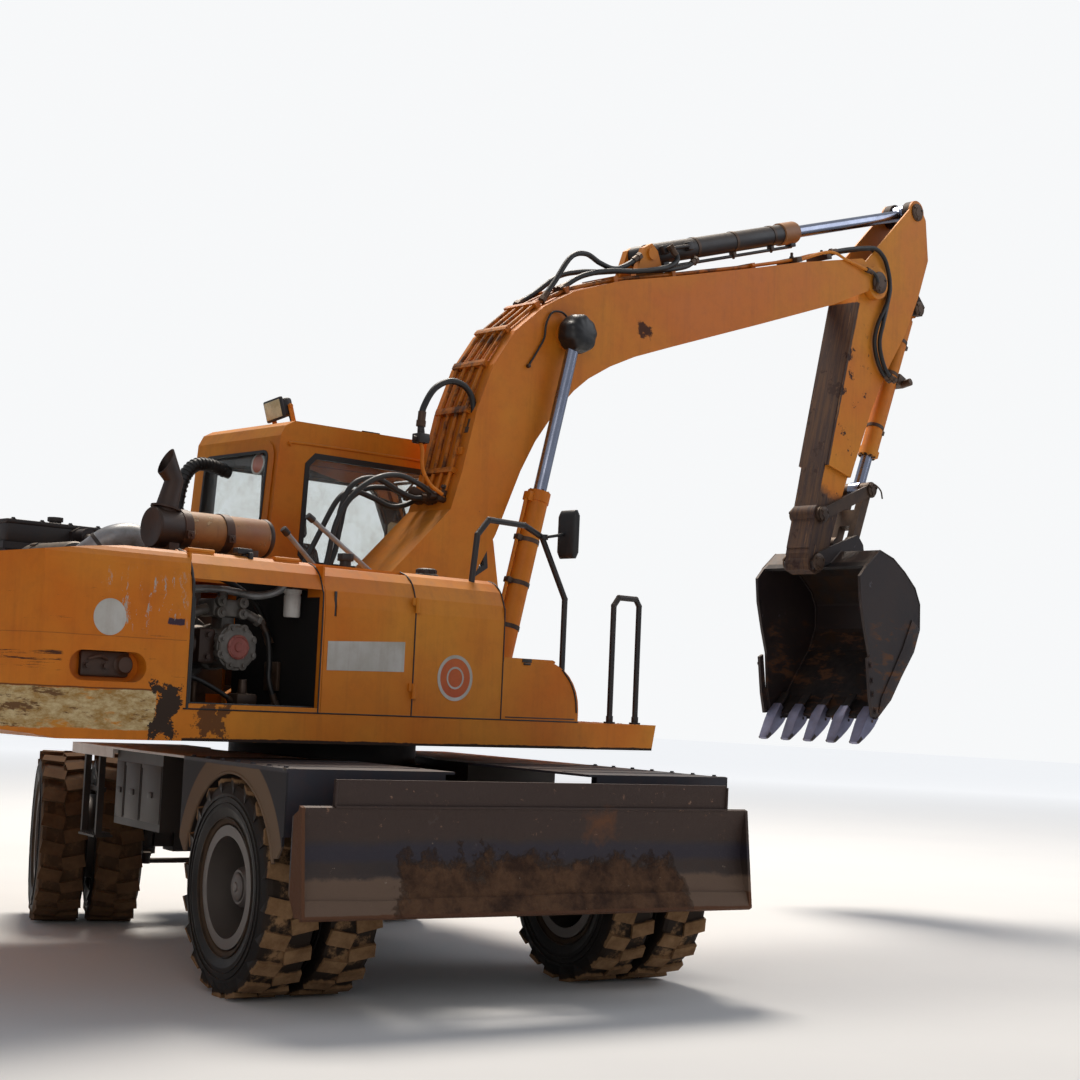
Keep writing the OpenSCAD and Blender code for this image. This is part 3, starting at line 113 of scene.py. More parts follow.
def add_node(tree, kind, inputs=(), **settings):
    """A node with its settings, and each named input either linked or set."""
    node = tree.nodes.new(kind)
    for key, value in settings.items():
        setattr(node, key, value)
    for key, value in dict(inputs).items():
        if isinstance(value, bpy.types.NodeSocket):
            tree.links.new(value, node.inputs[key])
        else:
            node.inputs[key].default_value = value
    return node


def noise(tree, vector, scale, detail=4, rough=0.6, output="Fac"):
    inputs = {"Vector": vector, "Scale": scale, "Detail": detail, "Roughness": rough}
    return add_node(tree, "ShaderNodeTexNoise", inputs).outputs[output]


def ramp(tree, value, low, high, to_low=0.0, to_high=1.0):
    """The value moved from the range low to high onto 0 to 1, or onto the given ends."""
    inputs = {"Value": value, "From Min": low, "From Max": high, "To Min": to_low, "To Max": to_high}
    return add_node(tree, "ShaderNodeMapRange", inputs).outputs["Result"]


def maths(tree, operation, a, b=0.0):
    return add_node(tree, "ShaderNodeMath", {0: a, 1: b}, operation=operation).outputs[0]


def times(tree, a, b):
    return maths(tree, "MULTIPLY", a, b)


def vector_maths(tree, operation, a, b=None, output="Vector"):
    """A vector operation; scaling takes its factor from a socket of its own."""
    inputs = {0: a} if b is None else {0: a, 3 if operation == "SCALE" else 1: b}
    return add_node(tree, "ShaderNodeVectorMath", inputs, operation=operation).outputs[output]


def blend(tree, factor, a, b):
    """Colour a where the factor is 0 and b where it is 1; a colour may be given by its six digits."""
    a, b = ((*srgb(c), 1) if isinstance(c, str) else c for c in (a, b))
    return add_node(tree, "ShaderNodeMix", {0: factor, 6: a, 7: b}, data_type="RGBA").outputs[2]


def mapped(tree, vector, **sockets):
    inputs = {"Vector": vector, **{key.title(): value for key, value in sockets.items()}}
    return add_node(tree, "ShaderNodeMapping", inputs).outputs[0]


def axes(tree, vector, *ways):
    """A vector's parts along three directions."""
    parts = [vector_maths(tree, "DOT_PRODUCT", vector, way, "Value") for way in ways]
    return add_node(tree, "ShaderNodeCombineXYZ", dict(enumerate(parts))).outputs[0]


def object_coordinates(tree):
    return tree.nodes.new("ShaderNodeTexCoord").outputs["Object"]


def chassis_coordinates(tree):
    """Object coordinates turned so that +X runs the way the undercarriage heads."""
    return mapped(tree, object_coordinates(tree), rotation=(0, 0, -HEADING))


def bump(tree, height, strength, distance=0.004):
    inputs = {"Height": height, "Strength": strength, "Distance": distance}
    return add_node(tree, "ShaderNodeBump", inputs).outputs["Normal"]


def use_group(tree, name, inputs):
    return add_node(tree, "ShaderNodeGroup", inputs, node_tree=bpy.data.node_groups[name]).outputs


def region(tree, vector, low=(-99, -99, -99), high=(99, 99, 99), soft=0.02, ragged=0.0):
    """1 inside a box of coordinates and 0 outside, with a soft and ragged edge."""
    inputs = {"Vector": vector, "Low": low, "High": high, "Soft": soft, "Ragged": ragged}
    return use_group(tree, "Region", inputs)["Mask"]


def wheel_distance(tree, hub, heading):
    """Distance from a wheel's axle."""
    inputs = {"Vector": object_coordinates(tree), "Hub": hub, "Heading": heading}
    return use_group(tree, "Wheel Distance", inputs)["Radius"]


def lay_over(tree, mask, colour, rough):
    """Lays a colour, or a colour socket, over what a material shows, where the mask is 1."""
    shader = tree.nodes["Principled BSDF"].inputs
    under = shader["Base Color"].links[0].from_socket
    tree.links.new(blend(tree, mask, under, colour), shader["Base Color"])
    under = shader["Roughness"].links[0].from_socket
    mixed = add_node(tree, "ShaderNodeMix", {0: mask, 2: under, 3: rough}, data_type="FLOAT").outputs[0]
    tree.links.new(mixed, shader["Roughness"])


# Shared node groups

COLOUR, FACTOR, VECTOR = "NodeSocketColor", "NodeSocketFloat", "NodeSocketVector"


def new_group(name, inputs, outputs):
    """An empty node group with its sockets, and its input and output nodes."""
    tree = bpy.data.node_groups.new(name, "ShaderNodeTree")
    for socket, kind, default in inputs:
        item = tree.interface.new_socket(socket, in_out="INPUT", socket_type=kind)
        if default is not None:
            item.default_value = default
    for socket, kind in outputs:
        tree.interface.new_socket(socket, in_out="OUTPUT", socket_type=kind)
    return tree, tree.nodes.new("NodeGroupInput").outputs, tree.nodes.new("NodeGroupOutput").inputs


def region_group():
    """A box of coordinates as a mask, whose edge wanders with a noise."""
    sockets = [("Vector", VECTOR, None), ("Low", VECTOR, None), ("High", VECTOR, None)]
    sockets += [("Soft", FACTOR, 0.02), ("Ragged", FACTOR, 0.0)]
    tree, given, out = new_group("Region", sockets, [("Mask", FACTOR)])
    wander = noise(tree, given["Vector"], 4.5, 7, 0.72, "Color")
    wander = vector_maths(tree, "SUBTRACT", wander, (0.5, 0.5, 0.5))
    wander = vector_maths(tree, "SCALE", wander, given["Ragged"])
    moved = vector_maths(tree, "ADD", given["Vector"], wander)
    inside = vector_maths(tree, "SUBTRACT", moved, given["Low"])
    inside = vector_maths(tree, "MINIMUM", inside, vector_maths(tree, "SUBTRACT", given["High"], moved))
    parts = add_node(tree, "ShaderNodeSeparateXYZ", {0: inside}).outputs
    least = maths(tree, "MINIMUM", maths(tree, "MINIMUM", parts["X"], parts["Y"]), parts["Z"])
    inputs = {"Value": least, "From Min": 0.0, "From Max": given["Soft"]}
    tree.links.new(add_node(tree, "ShaderNodeMapRange", inputs).outputs["Result"], out["Mask"])


def wheel_group():
    """Distance from a wheel's axle, for a hub's middle and heading."""
    sockets = [("Vector", VECTOR, None), ("Hub", VECTOR, None), ("Heading", VECTOR, None)]
    tree, given, out = new_group("Wheel Distance", sockets, [("Radius", FACTOR)])
    off = vector_maths(tree, "SUBTRACT", given["Vector"], given["Hub"])
    across = vector_maths(tree, "DOT_PRODUCT", off, given["Heading"], "Value")
    length = vector_maths(tree, "LENGTH", off, output="Value")
    square = maths(tree, "SUBTRACT", times(tree, length, length), times(tree, across, across))
    tree.links.new(maths(tree, "SQRT", maths(tree, "MAXIMUM", square)), out["Radius"])


def weathering_group():
    """Fading, chips with a rusty rim, rain streaks and settled dust over a base coat."""
    sockets = [("Vector", VECTOR, None)]
    sockets += [("Coat", COLOUR, (0.8, 0.2, 0.05, 1)), ("Faded", COLOUR, (0.8, 0.3, 0.1, 1))]
    sockets += [("Bare", COLOUR, (0.6, 0.6, 0.55, 1)), ("Rust", COLOUR, (0.15, 0.04, 0.02, 1))]
    sockets += [("Dust", COLOUR, (0.45, 0.35, 0.25, 1))]
    sockets += [("Chips", FACTOR, 0.3), ("Dirt", FACTOR, 0.5), ("Scale", FACTOR, 1.0)]
    outputs = [("Colour", COLOUR), ("Roughness", FACTOR), ("Height", FACTOR)]
    tree, given, out = new_group("Weathering", sockets, outputs)
    vector = vector_maths(tree, "MULTIPLY", given["Vector"], given["Scale"])
    broad = noise(tree, vector, 1.1, 3)
    fine = noise(tree, vector, 14, 6, 0.7)
    patches = noise(tree, vector, 3.1, 2)
    flakes = noise(tree, vector, 11, 9, 0.72)
    streaks = noise(tree, mapped(tree, vector, scale=(9, 9, 0.55)), 1.6, 5, 0.65)
    # Chips come in patches: the fine noise has to pass a level that the patches lower
    level = times(tree, given["Chips"], ramp(tree, patches, 0.42, 0.68))
    over = maths(tree, "SUBTRACT", flakes, ramp(tree, level, 0, 1, 0.76, 0.5))
    rim = ramp(tree, over, -0.025, 0.0)
    core = ramp(tree, over, 0.006, 0.012)
    coat = blend(tree, ramp(tree, broad, 0.38, 0.66), given["Coat"], given["Faded"])
    grime = times(tree, ramp(tree, streaks, 0.5, 0.72), given["Dirt"])
    grime = maths(tree, "ADD", grime, times(tree, ramp(tree, fine, 0.45, 0.75), 0.25))
    coat = blend(tree, times(tree, grime, 0.55), coat, given["Rust"])
    coat = blend(tree, times(tree, rim, 0.8), coat, given["Rust"])
    coat = blend(tree, core, coat, given["Bare"])
    normal = tree.nodes.new("ShaderNodeNewGeometry").outputs["Normal"]
    up = add_node(tree, "ShaderNodeSeparateXYZ", {0: normal}).outputs["Z"]
    settled = times(tree, ramp(tree, up, 0.2, 1.0), ramp(tree, fine, 0.3, 0.65))
    settled = times(tree, settled, given["Dirt"])
    tree.links.new(blend(tree, settled, coat, given["Dust"]), out["Colour"])
    rough = maths(tree, "ADD", ramp(tree, broad, 0.3, 0.7, 0.4, 0.6), times(tree, settled, 0.3))
    tree.links.new(maths(tree, "ADD", rough, times(tree, core, 0.1)), out["Roughness"])
    height = maths(tree, "SUBTRACT", times(tree, fine, 0.25), times(tree, core, 0.5))
    tree.links.new(height, out["Height"])


# Finishes


def shader_material(name, metallic=0.0, **sockets):
    """A material with only its shader, and that shader's node. Plain numbers are set on the shader itself."""
    material = bpy.data.materials.new(name)
    material.use_nodes = True
    shader = material.node_tree.nodes["Principled BSDF"]
    shader.inputs["Metallic"].default_value = metallic
    for socket, value in sockets.items():
        shader.inputs[socket.replace("_", " ")].default_value = value
    return material, material.node_tree, shader.inputs


def worn_material(name, colours, chips, dirt, scale=1.0, metallic=0.0, relief=0.4, specular=0.5):
    """A coat of paint or a steel skin with the shared weathering: coat, faded, bare, rust and dust colours."""
    _, tree, shader = shader_material(name, metallic, Specular_IOR_Level=specular)
    inputs = {"Vector": object_coordinates(tree), "Chips": chips, "Dirt": dirt, "Scale": scale}
    for socket, colour in zip(("Coat", "Faded", "Bare", "Rust", "Dust"), colours):
        inputs[socket] = (*colour, 1)
    wear = use_group(tree, "Weathering", inputs)
    tree.links.new(wear["Colour"], shader["Base Color"])
    tree.links.new(wear["Roughness"], shader["Roughness"])
    tree.links.new(bump(tree, wear["Height"], relief), shader["Normal"])


def speckled_material(name, colours, rough, scale=20, metallic=0.0, relief=0.15):
    """A plain finish with slight variation between two colours, and of gloss."""
    _, tree, shader = shader_material(name, metallic)
    grain = noise(tree, object_coordinates(tree), scale, 5, 0.65)
    tree.links.new(blend(tree, ramp(tree, grain, 0.35, 0.7), *colours.split()), shader["Base Color"])
    tree.links.new(ramp(tree, grain, 0.3, 0.7, rough - 0.07, rough + 0.1), shader["Roughness"])
    tree.links.new(bump(tree, grain, relief, 0.002), shader["Normal"])


def finish(name):
    return bpy.data.materials[name]


def glass_material():
    """Clear glass with dust on it."""
    _, tree, shader = shader_material("tinted_glass", Transmission_Weight=0.95, IOR=1.2)
    grain = noise(tree, object_coordinates(tree), 6, 5, 0.7)
    dusty = blend(tree, ramp(tree, grain, 0.45, 0.8), (0.86, 0.89, 0.89, 1), (0.7, 0.7, 0.66, 1))
    tree.links.new(dusty, shader["Base Color"])
    tree.links.new(ramp(tree, grain, 0.4, 0.75, 0.0, 0.03), shader["Roughness"])


# Coat, faded, bare, rust and dust colours, each by its six digits or by the name of its setting,
# then chips, dirt, scale, metallic, relief and specular level
WORN_FINISHES = {
    "navy": ("navy 24242E primer rust dust", 0.3, 0.12),
    # The deck's pale colours are partly painted sunlight on the plates' tops
    "deck": ("deck C6C0B8 9A9088 rust C9C0B2", 0.25, 0.25, 1.4),
    # The undercarriage's dark colours are dirty paint with painted shade from the upper structure
    "undercarriage": ("chassis 2A231E 161210 33201A dust", 0.4, 0.22, 1.3),
    "rim": ("0E0B0A 1A1512 0A0808 2A1A12 dust", 0.4, 0.06, 2, 0.0, 0.4, 0.12),
    "blade": ("2C2424 3E312A 5E5856 452818 dust", 0.6, 0.25, 1.2, 0.3),
    "bucket": ("bucket 332A29 4A4A52 40261A dust", 0.7, 0.22, 1.3, 0.3),
    "greasy_steel": ("3A2C24 5A4433 262220 33200F dust", 0.6, 0.3, 3, 0.4),
    "muffler": ("7E4C26 9A7040 A88C66 42200E dust", 1.0, 0.4, 2.2, 0.1),
    "engine": ("4E4C4A 3A3836 2A2624 33241A dust", 0.4, 0.5, 4, 0.3),
    "pump": ("7C7874 5A5650 3E3A38 3E2E26 dust", 0.5, 0.4, 5, 0.4),
    "black_paint": ("17161A 2A2422 4A3C32 3A2418 dust", 0.4, 0.25, 3),
    "tan_paint": ("8E5A2C 9C6C40 5B3E28 4A2A18 dust", 0.3, 0.3, 2),
    "pale_patch": ("C4C2BE AAA59A 8A7A64 7A5030 dust", 0.15, 0.3, 2),
    "disc_orange": ("B84A16 C05E22 A55226 6A3016 dust", 0.1, 0.3, 2),
    "burnt_steel": ("35241B 4E3426 261C18 33190C dust", 0.5, 0.1, 4, 0.2),
    "scorched": ("231A18 3A2A22 1A1414 331A0E dust", 0.6, 0.06, 4, 0.2),
    "red_primer": ("8E4A42 A0625A 5E3C34 4A2420 dust", 0.3, 0.4, 4),
    "worn_steel": ("80829C 66667A 9A9CB4 5A3A28 dust", 0.4, 0.1, 3, 0.6),
}
TYRE_FINISH = ("rubber 1E1916 141110 231A14 dust", 0.3, 0.1, 3, 0.0, 0.4, 0.2)

# Two colours, then roughness, scale, metallic and relief
SPECKLED_FINISHES = {
    "oily_steel": ("1A1816 2C2824", 0.5, 12, 0.5),
    "chrome": ("9CA2B4 848A9C", 0.2, 6, 1.0, 0.03),
    "plastic": ("161618 242324", 0.5, 30),
    "seat_shell": ("151517 201F1E", 0.6, 30),
    "rubber": ("121213 211E1C", 0.5, 25),
    "grey_tube": ("9A9CA0 74726E", 0.4, 10, 0.3),
    "cushion": ("1B1C22 2A2A32", 0.85, 160, 0.0, 0.5),
    "lens": ("E4DAB4 B8AA80", 0.2, 14),
    "mirror_glass": ("B8C0C4 A0A8AC", 0.06, 8, 0.9, 0.02),
    "cover_rubber": ("101013 1E1C1A", 0.4, 9, 0.0, 0.6),
}

# Tyres in the order of wheel_places(), each with the finish for its own axle
TYRE_NODES = ("tyres_blade_left", "tyres_steer_left", "tyres_blade_right", "tyres_steer_right")

# Which finish each other CAD node gets
NODE_FINISHES = {
    "orange": (
        "upper_frame pump_bay tank_housing right_door front_toolbox toolbox_lid left_housing left_door "
        "boom boom_barrels bucket_barrel"
    ),
    "pipe_orange": "boom_pipes",
    "tail_orange": "counterweight",
    "cab_orange": "cab_shell cab_door",
    "arm_orange": "arm",
    "undercarriage": (
        "chassis_frame fixed_axle steer_axle drive_train tool_boxes knuckle_left knuckle_right tie_rod "
        "blade_arms blade_links blade_barrels"
    ),
    "oily_steel": "slew_ring fan",
    "deck": "deck_plates",
    "navy": "fenders",
    "rim": "rims_steer_left rims_steer_right rims_blade_left rims_blade_right",
    "blade": "dozer_blade",
    "chrome": "blade_rods boom_rods arm_rod bucket_rod",
    "engine": "engine",
    "black_paint": "cooler_pack handrails arm_barrel",
    "tinted_glass": "cab_glass door_glass",
    "seat_shell": "seat",
    "plastic": "console mirrors",
    "greasy_steel": "idler_links bucket_link",
    "bucket": "bucket",
}


class EXCAVATOR_OT_finishes(bpy.types.Operator):
    """Make the finishes and give each part of the frame its own"""

    bl_idname = "excavator.finishes"
    bl_label = "Finishes"

    def execute(self, context):
        s = context.scene.excavator_finish
        weathering_group()
        region_group()
        wheel_group()
        paint = (s.body, s.body_faded, s.primer, s.rust, s.dust)
        worn_material("orange", paint, s.chips * 0.6, s.dirt * 0.5, specular=0.3)
        for name, row in WORN_FINISHES.items():
            self.worn(s, name, row)
        for name, row in SPECKLED_FINISHES.items():
            speckled_material(name, *row)
        glass_material()
        self.tail_marks()
        self.body_marks()
        self.arm_marks()
        self.blade_marks()
        self.fender_marks()
        self.bucket_marks()
        for (_, place), nodes in zip(wheel_places(), TYRE_NODES):
            name = nodes.replace("tyres", "tyre")
            self.worn(s, name, TYRE_FINISH)
            self.tyre_marks(name, place)
            self.cover(nodes, name)
        for name, nodes in NODE_FINISHES.items():
            self.cover(nodes, name)
        return {"FINISHED"}

    def worn(self, s, name, row):
        words, *wear = row
        worn_material(name, [getattr(s, word) if hasattr(s, word) else srgb(word) for word in words.split()], *wear)

    def cover(self, nodes, name):
        for node in nodes.split():
            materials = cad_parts[node].data.materials
            materials.clear()
            materials.append(finish(name))

    def copied(self, new):
        """A copy of the orange paint to mark, and its coordinates."""
        material = finish("orange").copy()
        material.name = new
        return material.node_tree, object_coordinates(material.node_tree)

    def tail_marks(self):
        """Scraped band, bruises and scratches of the tail weight."""
        tree, at = self.copied("tail_orange")
        flecks = noise(tree, mapped(tree, at, scale=(1.4, 1.4, 5)), 2.6, 10, 0.7)
        fine = noise(tree, mapped(tree, at, scale=(1, 1, 2.2)), 14, 10, 0.75)
        scraped = blend(tree, ramp(tree, fine, 0.4, 0.62), "A07C44", "CDB88C")
        scraped = blend(tree, ramp(tree, flecks, 0.56, 0.6), scraped, "6A4A2C")
        scraped = blend(tree, ramp(tree, flecks, 0.36, 0.42), "C4802C", scraped)
        band = region(tree, at, (-9, -9, 1.24), (-1.9, 9, 1.428), 0.006, 0.05)
        lay_over(tree, times(tree, band, ramp(tree, fine, 0.3, 0.36)), scraped, 0.7)
        edge = region(tree, at, (-9, -9, 1.424), (-1.78, 9, 1.434), 0.003, 0.012)
        lay_over(tree, edge, "6A3A16", 0.7)
        for low, high, colour, ragged in (
            ((-1.93, -9, 1.2), (-1.78, 9, 1.46), "33241A", 0.4),
            ((-9, -9, 1.6665), (9, 9, 1.6725), "7A4218", 0.012),
            ((-1.86, -9, 1.74), (-1.77, -1.1, 1.775), "3A2A38", 0.05),
        ):
            lay_over(tree, region(tree, at, low, high, 0.004, ragged), colour, 0.7)
        lines = noise(tree, mapped(tree, at, scale=(1.1, 1.1, 26), rotation=(0, 0.035, 0)), 2.2, 6, 0.75)
        scratch = ramp(tree, lines, 0.53, 0.54)
        below = region(tree, at, (-9, -9, 1.5), (-2.38, 9, 1.6), 0.02, 0.12)
        lay_over(tree, times(tree, scratch, below), "4A2814", 0.7)
        scratch = ramp(tree, lines, 0.64, 0.65)
        above = region(tree, at, (-9, -9, 1.45), (9, 9, 1.9), 0.05, 0.3)
        lay_over(tree, times(tree, scratch, above), "6A3E1C", 0.7)
        pale = noise(tree, mapped(tree, at, scale=(9, 9, 3), location=(3, 1, 2)), 3, 10, 0.8)
        pale = ramp(tree, pale, 0.565, 0.58)
        rubbed = region(tree, at, (-2.2, -9, 1.69), (-1.75, 9, 2.02), 0.08, 0.3)
        lay_over(tree, times(tree, pale, rubbed), "A8A29A", 0.6)

    def body_marks(self):
        """Painted shade inside the engine room, dark inner faces of the cab, rubbed frame band, blotch of the boom and
        grimy pipes.
        """
        tree = finish("orange").node_tree
        at = object_coordinates(tree)
        # Painted shade: the engine room's walls, the inner faces of its top rail, the cooler's bay and its lit floor
        # are painted near black
        for low, high in (
            ((-1.742, -1.205, 1.33), (-0.955, 0.9, 1.935)),
            ((-1.742, -1.1, 1.9), (-0.955, 0.9, 2.089)),
            ((-1.71, 0.6, 1.33), (-0.675, 1.2, 2.06)),
            ((-1.745, -1.15, 1.2), (-0.675, 1.15, 1.36)),
        ):
            lay_over(tree, region(tree, at, low, high, 0.004), "0F0C0B", 0.8)
        rubbed = region(tree, at, (-1.7, -1.26, 1.215), (-1.48, -1.1, 1.34), 0.012, 0.5)
        lay_over(tree, times(tree, rubbed, 0.85), "3E2618", 0.7)
        edge = region(tree, at, (-1.75, -1.26, 1.19), (1.6, -1.2, 1.212), 0.004, 0.03)
        lay_over(tree, edge, "2A1A10", 0.8)
        blotch = region(tree, at, (2.25, -0.4, 3.94), (2.41, -0.2, 4.04), 0.02, 0.4)
        lay_over(tree, blotch, "4A2A1C", 0.8)
        tree, at = self.copied("pipe_orange")
        grime = noise(tree, at, 9, 7, 0.7)
        lay_over(tree, ramp(tree, grime, 0.46, 0.6, 0.15, 0.9), "33221A", 0.6)
        tree, at = self.copied("cab_orange")
        # The cab's inner faces are painted near black
        slope = axes(tree, at, (1, 0, -REAR_LEAN), (0, 1, 0), (0.2 / 1.02, 0, 0.98))
        cabin = region(tree, slope, (-0.352, 0.366, -9), (9, 1.207, 3.0), 0.003)
        bend = axes(tree, at, (1, 0, 0.489), (0, 1, 0), (0, 0, 1))
        front = region(tree, bend, (-9, -9, 1.38), (2.75, 9, 3.055), 0.003)
        lay_over(tree, times(tree, cabin, front), "1B1A1B", 0.7)

    def arm_marks(self):
        """Scraped underside and muddy lower end of the arm."""
        tree, at = self.copied("arm_orange")
        nose = (NOSE_PIN[0], 0, NOSE_PIN[1])
        # The arm's own frame: X runs along it from the nose pin and Z towards its back
        along = vector_maths(tree, "SUBTRACT", at, nose)
        along = axes(tree, along, (ARM_WAY.x, 0, ARM_WAY.y), (0, 1, 0), (-ARM_WAY.y, 0, ARM_WAY.x))
        streaks = noise(tree, mapped(tree, along, scale=(0.9, 16, 9)), 2.4, 7, 0.72)
        bruised = blend(tree, ramp(tree, streaks, 0.4, 0.6), "5A4230", "33282A")
        bruised = blend(tree, ramp(tree, streaks, 0.6, 0.66), bruised, "7A5A3C")
        under = region(tree, along, (0.2, -9, -9), (9, 9, -0.088), 0.008, 0.03)
        lay_over(tree, under, bruised, 0.7)
        tip = region(tree, along, (1.68, -9, -9), (9, 9, 9), 0.08, 0.3)
        lay_over(tree, tip, bruised, 0.7)
        spots = noise(tree, along, 7, 7, 0.7)
        marked = region(tree, along, (0.3, -9, -9), (9, 9, 9), 0.3, 0.2)
        lay_over(tree, times(tree, ramp(tree, spots, 0.6, 0.63), marked), "33201A", 0.7)
        crest = region(tree, along, (-9, BOOM_Y - 0.13, 0.0), (0.6, BOOM_Y + 0.13, 9), 0.01)
        lay_over(tree, crest, "33241C", 0.7)

    def blade_marks(self):
        """Caked soil, blue steel band and rusty edges of the dozer blade."""
        tree = finish("blade").node_tree
        at = chassis_coordinates(tree)
        clods = noise(tree, at, 8, 8, 0.68)
        flecks = noise(tree, at, 22, 6, 0.75)
        top = region(tree, at, (2.3, -9, 0.79), (9, 9, 9), 0.03, 0.07)
        lay_over(tree, times(tree, top, 0.8), "3E2E28", 0.6)
        band = region(tree, at, (2.3, -9, 0.69), (9, 9, 0.8), 0.03, 0.05)
        lay_over(tree, times(tree, band, 0.7), "272534", 0.5)
        lay_over(tree, times(tree, ramp(tree, flecks, 0.63, 0.66), top), "7A5A48", 0.7)
        soil = blend(tree, ramp(tree, clods, 0.36, 0.6), "3A2418", "6A4C36")
        pale = region(tree, at, (2.3, -9, 0.3), (9, 9, 0.635), 0.02, 0.09)
        lay_over(tree, pale, "6E5A4C", 0.85)
        lump = region(tree, at, (2.3, -0.78, 0.3), (9, 0.83, 0.735), 0.05, 0.45)
        lay_over(tree, lump, soil, 0.95)
        blotch = region(tree, at, (2.3, 0.26, 0.77), (9, 0.46, 0.93), 0.08, 0.35)
        lay_over(tree, blotch, "6A4630", 0.8)
        lay_over(tree, ramp(tree, flecks, 0.68, 0.7), "8A7A6C", 0.7)
        for low, high in (
            ((-9, -9, 0.3), (9, 9, 0.48)), ((2.34, -9, 0.3), (9, -1.226, 9)), ((2.34, 1.222, 0.3), (9, 9, 0.55))
        ):
            lay_over(tree, region(tree, at, low, high, 0.006, 0.02), "5E3C26", 0.8)
        shader = tree.nodes["Principled BSDF"].inputs
        rough = times(tree, clods, maths(tree, "MAXIMUM", lump, 0.15))
        tree.links.new(bump(tree, rough, 1.0, 0.06), shader["Normal"])

    def fender_marks(self):
        """Painted shadow over the fenders' side plates, and a dusty rim that follows the arch over each wheel."""
        tree = finish("navy").node_tree
        at = chassis_coordinates(tree)
        for side in (-1, 1):
            hub = CHASSIS @ Vector((FIXED_AXLE, side * TRACK, TYRE_R))
            radius = wheel_distance(tree, hub, CHASSIS.to_3x3() @ Vector((0, 1, 0)))
            inner, outer = sorted((side * 1.2335, side * 9))
            plate = region(tree, at, (0, inner, 0), (9, outer, 1.09), 0.006, 0.01)
            # Painted shadow: each side plate is painted near black away from its dusty arch
            lay_over(tree, plate, "171318", 0.7)
            lay_over(tree, times(tree, plate, ramp(tree, radius, 0.66, 0.65)), "6E5844", 0.85)

    def bucket_marks(self):
        """Near-black inner faces with patches of brown soil, and rusty cheeks of the bucket."""
        tree = finish("bucket").node_tree
        at = object_coordinates(tree)
        caked = noise(tree, at, 5, 7, 0.7)
        inside = region(tree, at, (4.4, BOOM_Y - 0.474, 1.4), (5.12, BOOM_Y + 0.474, 2.6), 0.01)
        lay_over(tree, times(tree, inside, ramp(tree, caked, 0.35, 0.6, 0.55, 1.0)), "151214", 0.75)
        upper = region(tree, at, (4.6, -9, 1.95), (5.2, 9, 2.6), 0.2, 0.5)
        patchy = ramp(tree, caked, 0.56, 0.7, 0.0, 0.5)
        upper = times(tree, upper, ramp(tree, caked, 0.35, 0.6))
        lay_over(tree, times(tree, inside, maths(tree, "ADD", patchy, upper)), "402814", 0.85)
        rusty = noise(tree, mapped(tree, at, rotation=(0, -0.8, 0), scale=(1, 1, 3)), 4, 7, 0.7)
        cheek = region(tree, at, (4.5, -9, 1.3), (5.2, 9, 2.2), 0.1, 0.3)
        lay_over(tree, times(tree, ramp(tree, rusty, 0.53, 0.62), cheek), "5E3E28", 0.8)

    def tyre_marks(self, name, place):
        """Soil between the lugs and pale brown rubbed lug tops over dark sidewalls."""
        tree = finish(name).node_tree
        radius = wheel_distance(tree, place.translation, place.to_3x3() @ Vector((0, 1, 0)))
        grain = noise(tree, object_coordinates(tree), 9, 6, 0.7)
        radius = maths(tree, "ADD", radius, ramp(tree, grain, 0.3, 0.7, -0.012, 0.012))
        steered = "steer" in name
        soil = ("4E3826", "5E4630") if steered else ("6A4E34", "907050")
        soil = blend(tree, ramp(tree, grain, 0.35, 0.65), *soil)
        lay_over(tree, ramp(tree, radius, *((0.44, 0.47) if steered else (0.494, 0.502))), soil, 0.9)
        groove = times(tree, ramp(tree, radius, 0.47, 0.48), ramp(tree, radius, 0.5, 0.495))
        lay_over(tree, times(tree, groove, 0.5), "33261C", 0.9)
        ring = times(tree, ramp(tree, radius, 0.285, 0.3), ramp(tree, radius, 0.335, 0.315))
        lay_over(tree, times(tree, ring, 0.6), "5A4634", 0.9)


# Stage

BACKDROP = (0.93, 0.94, 0.95, 1)


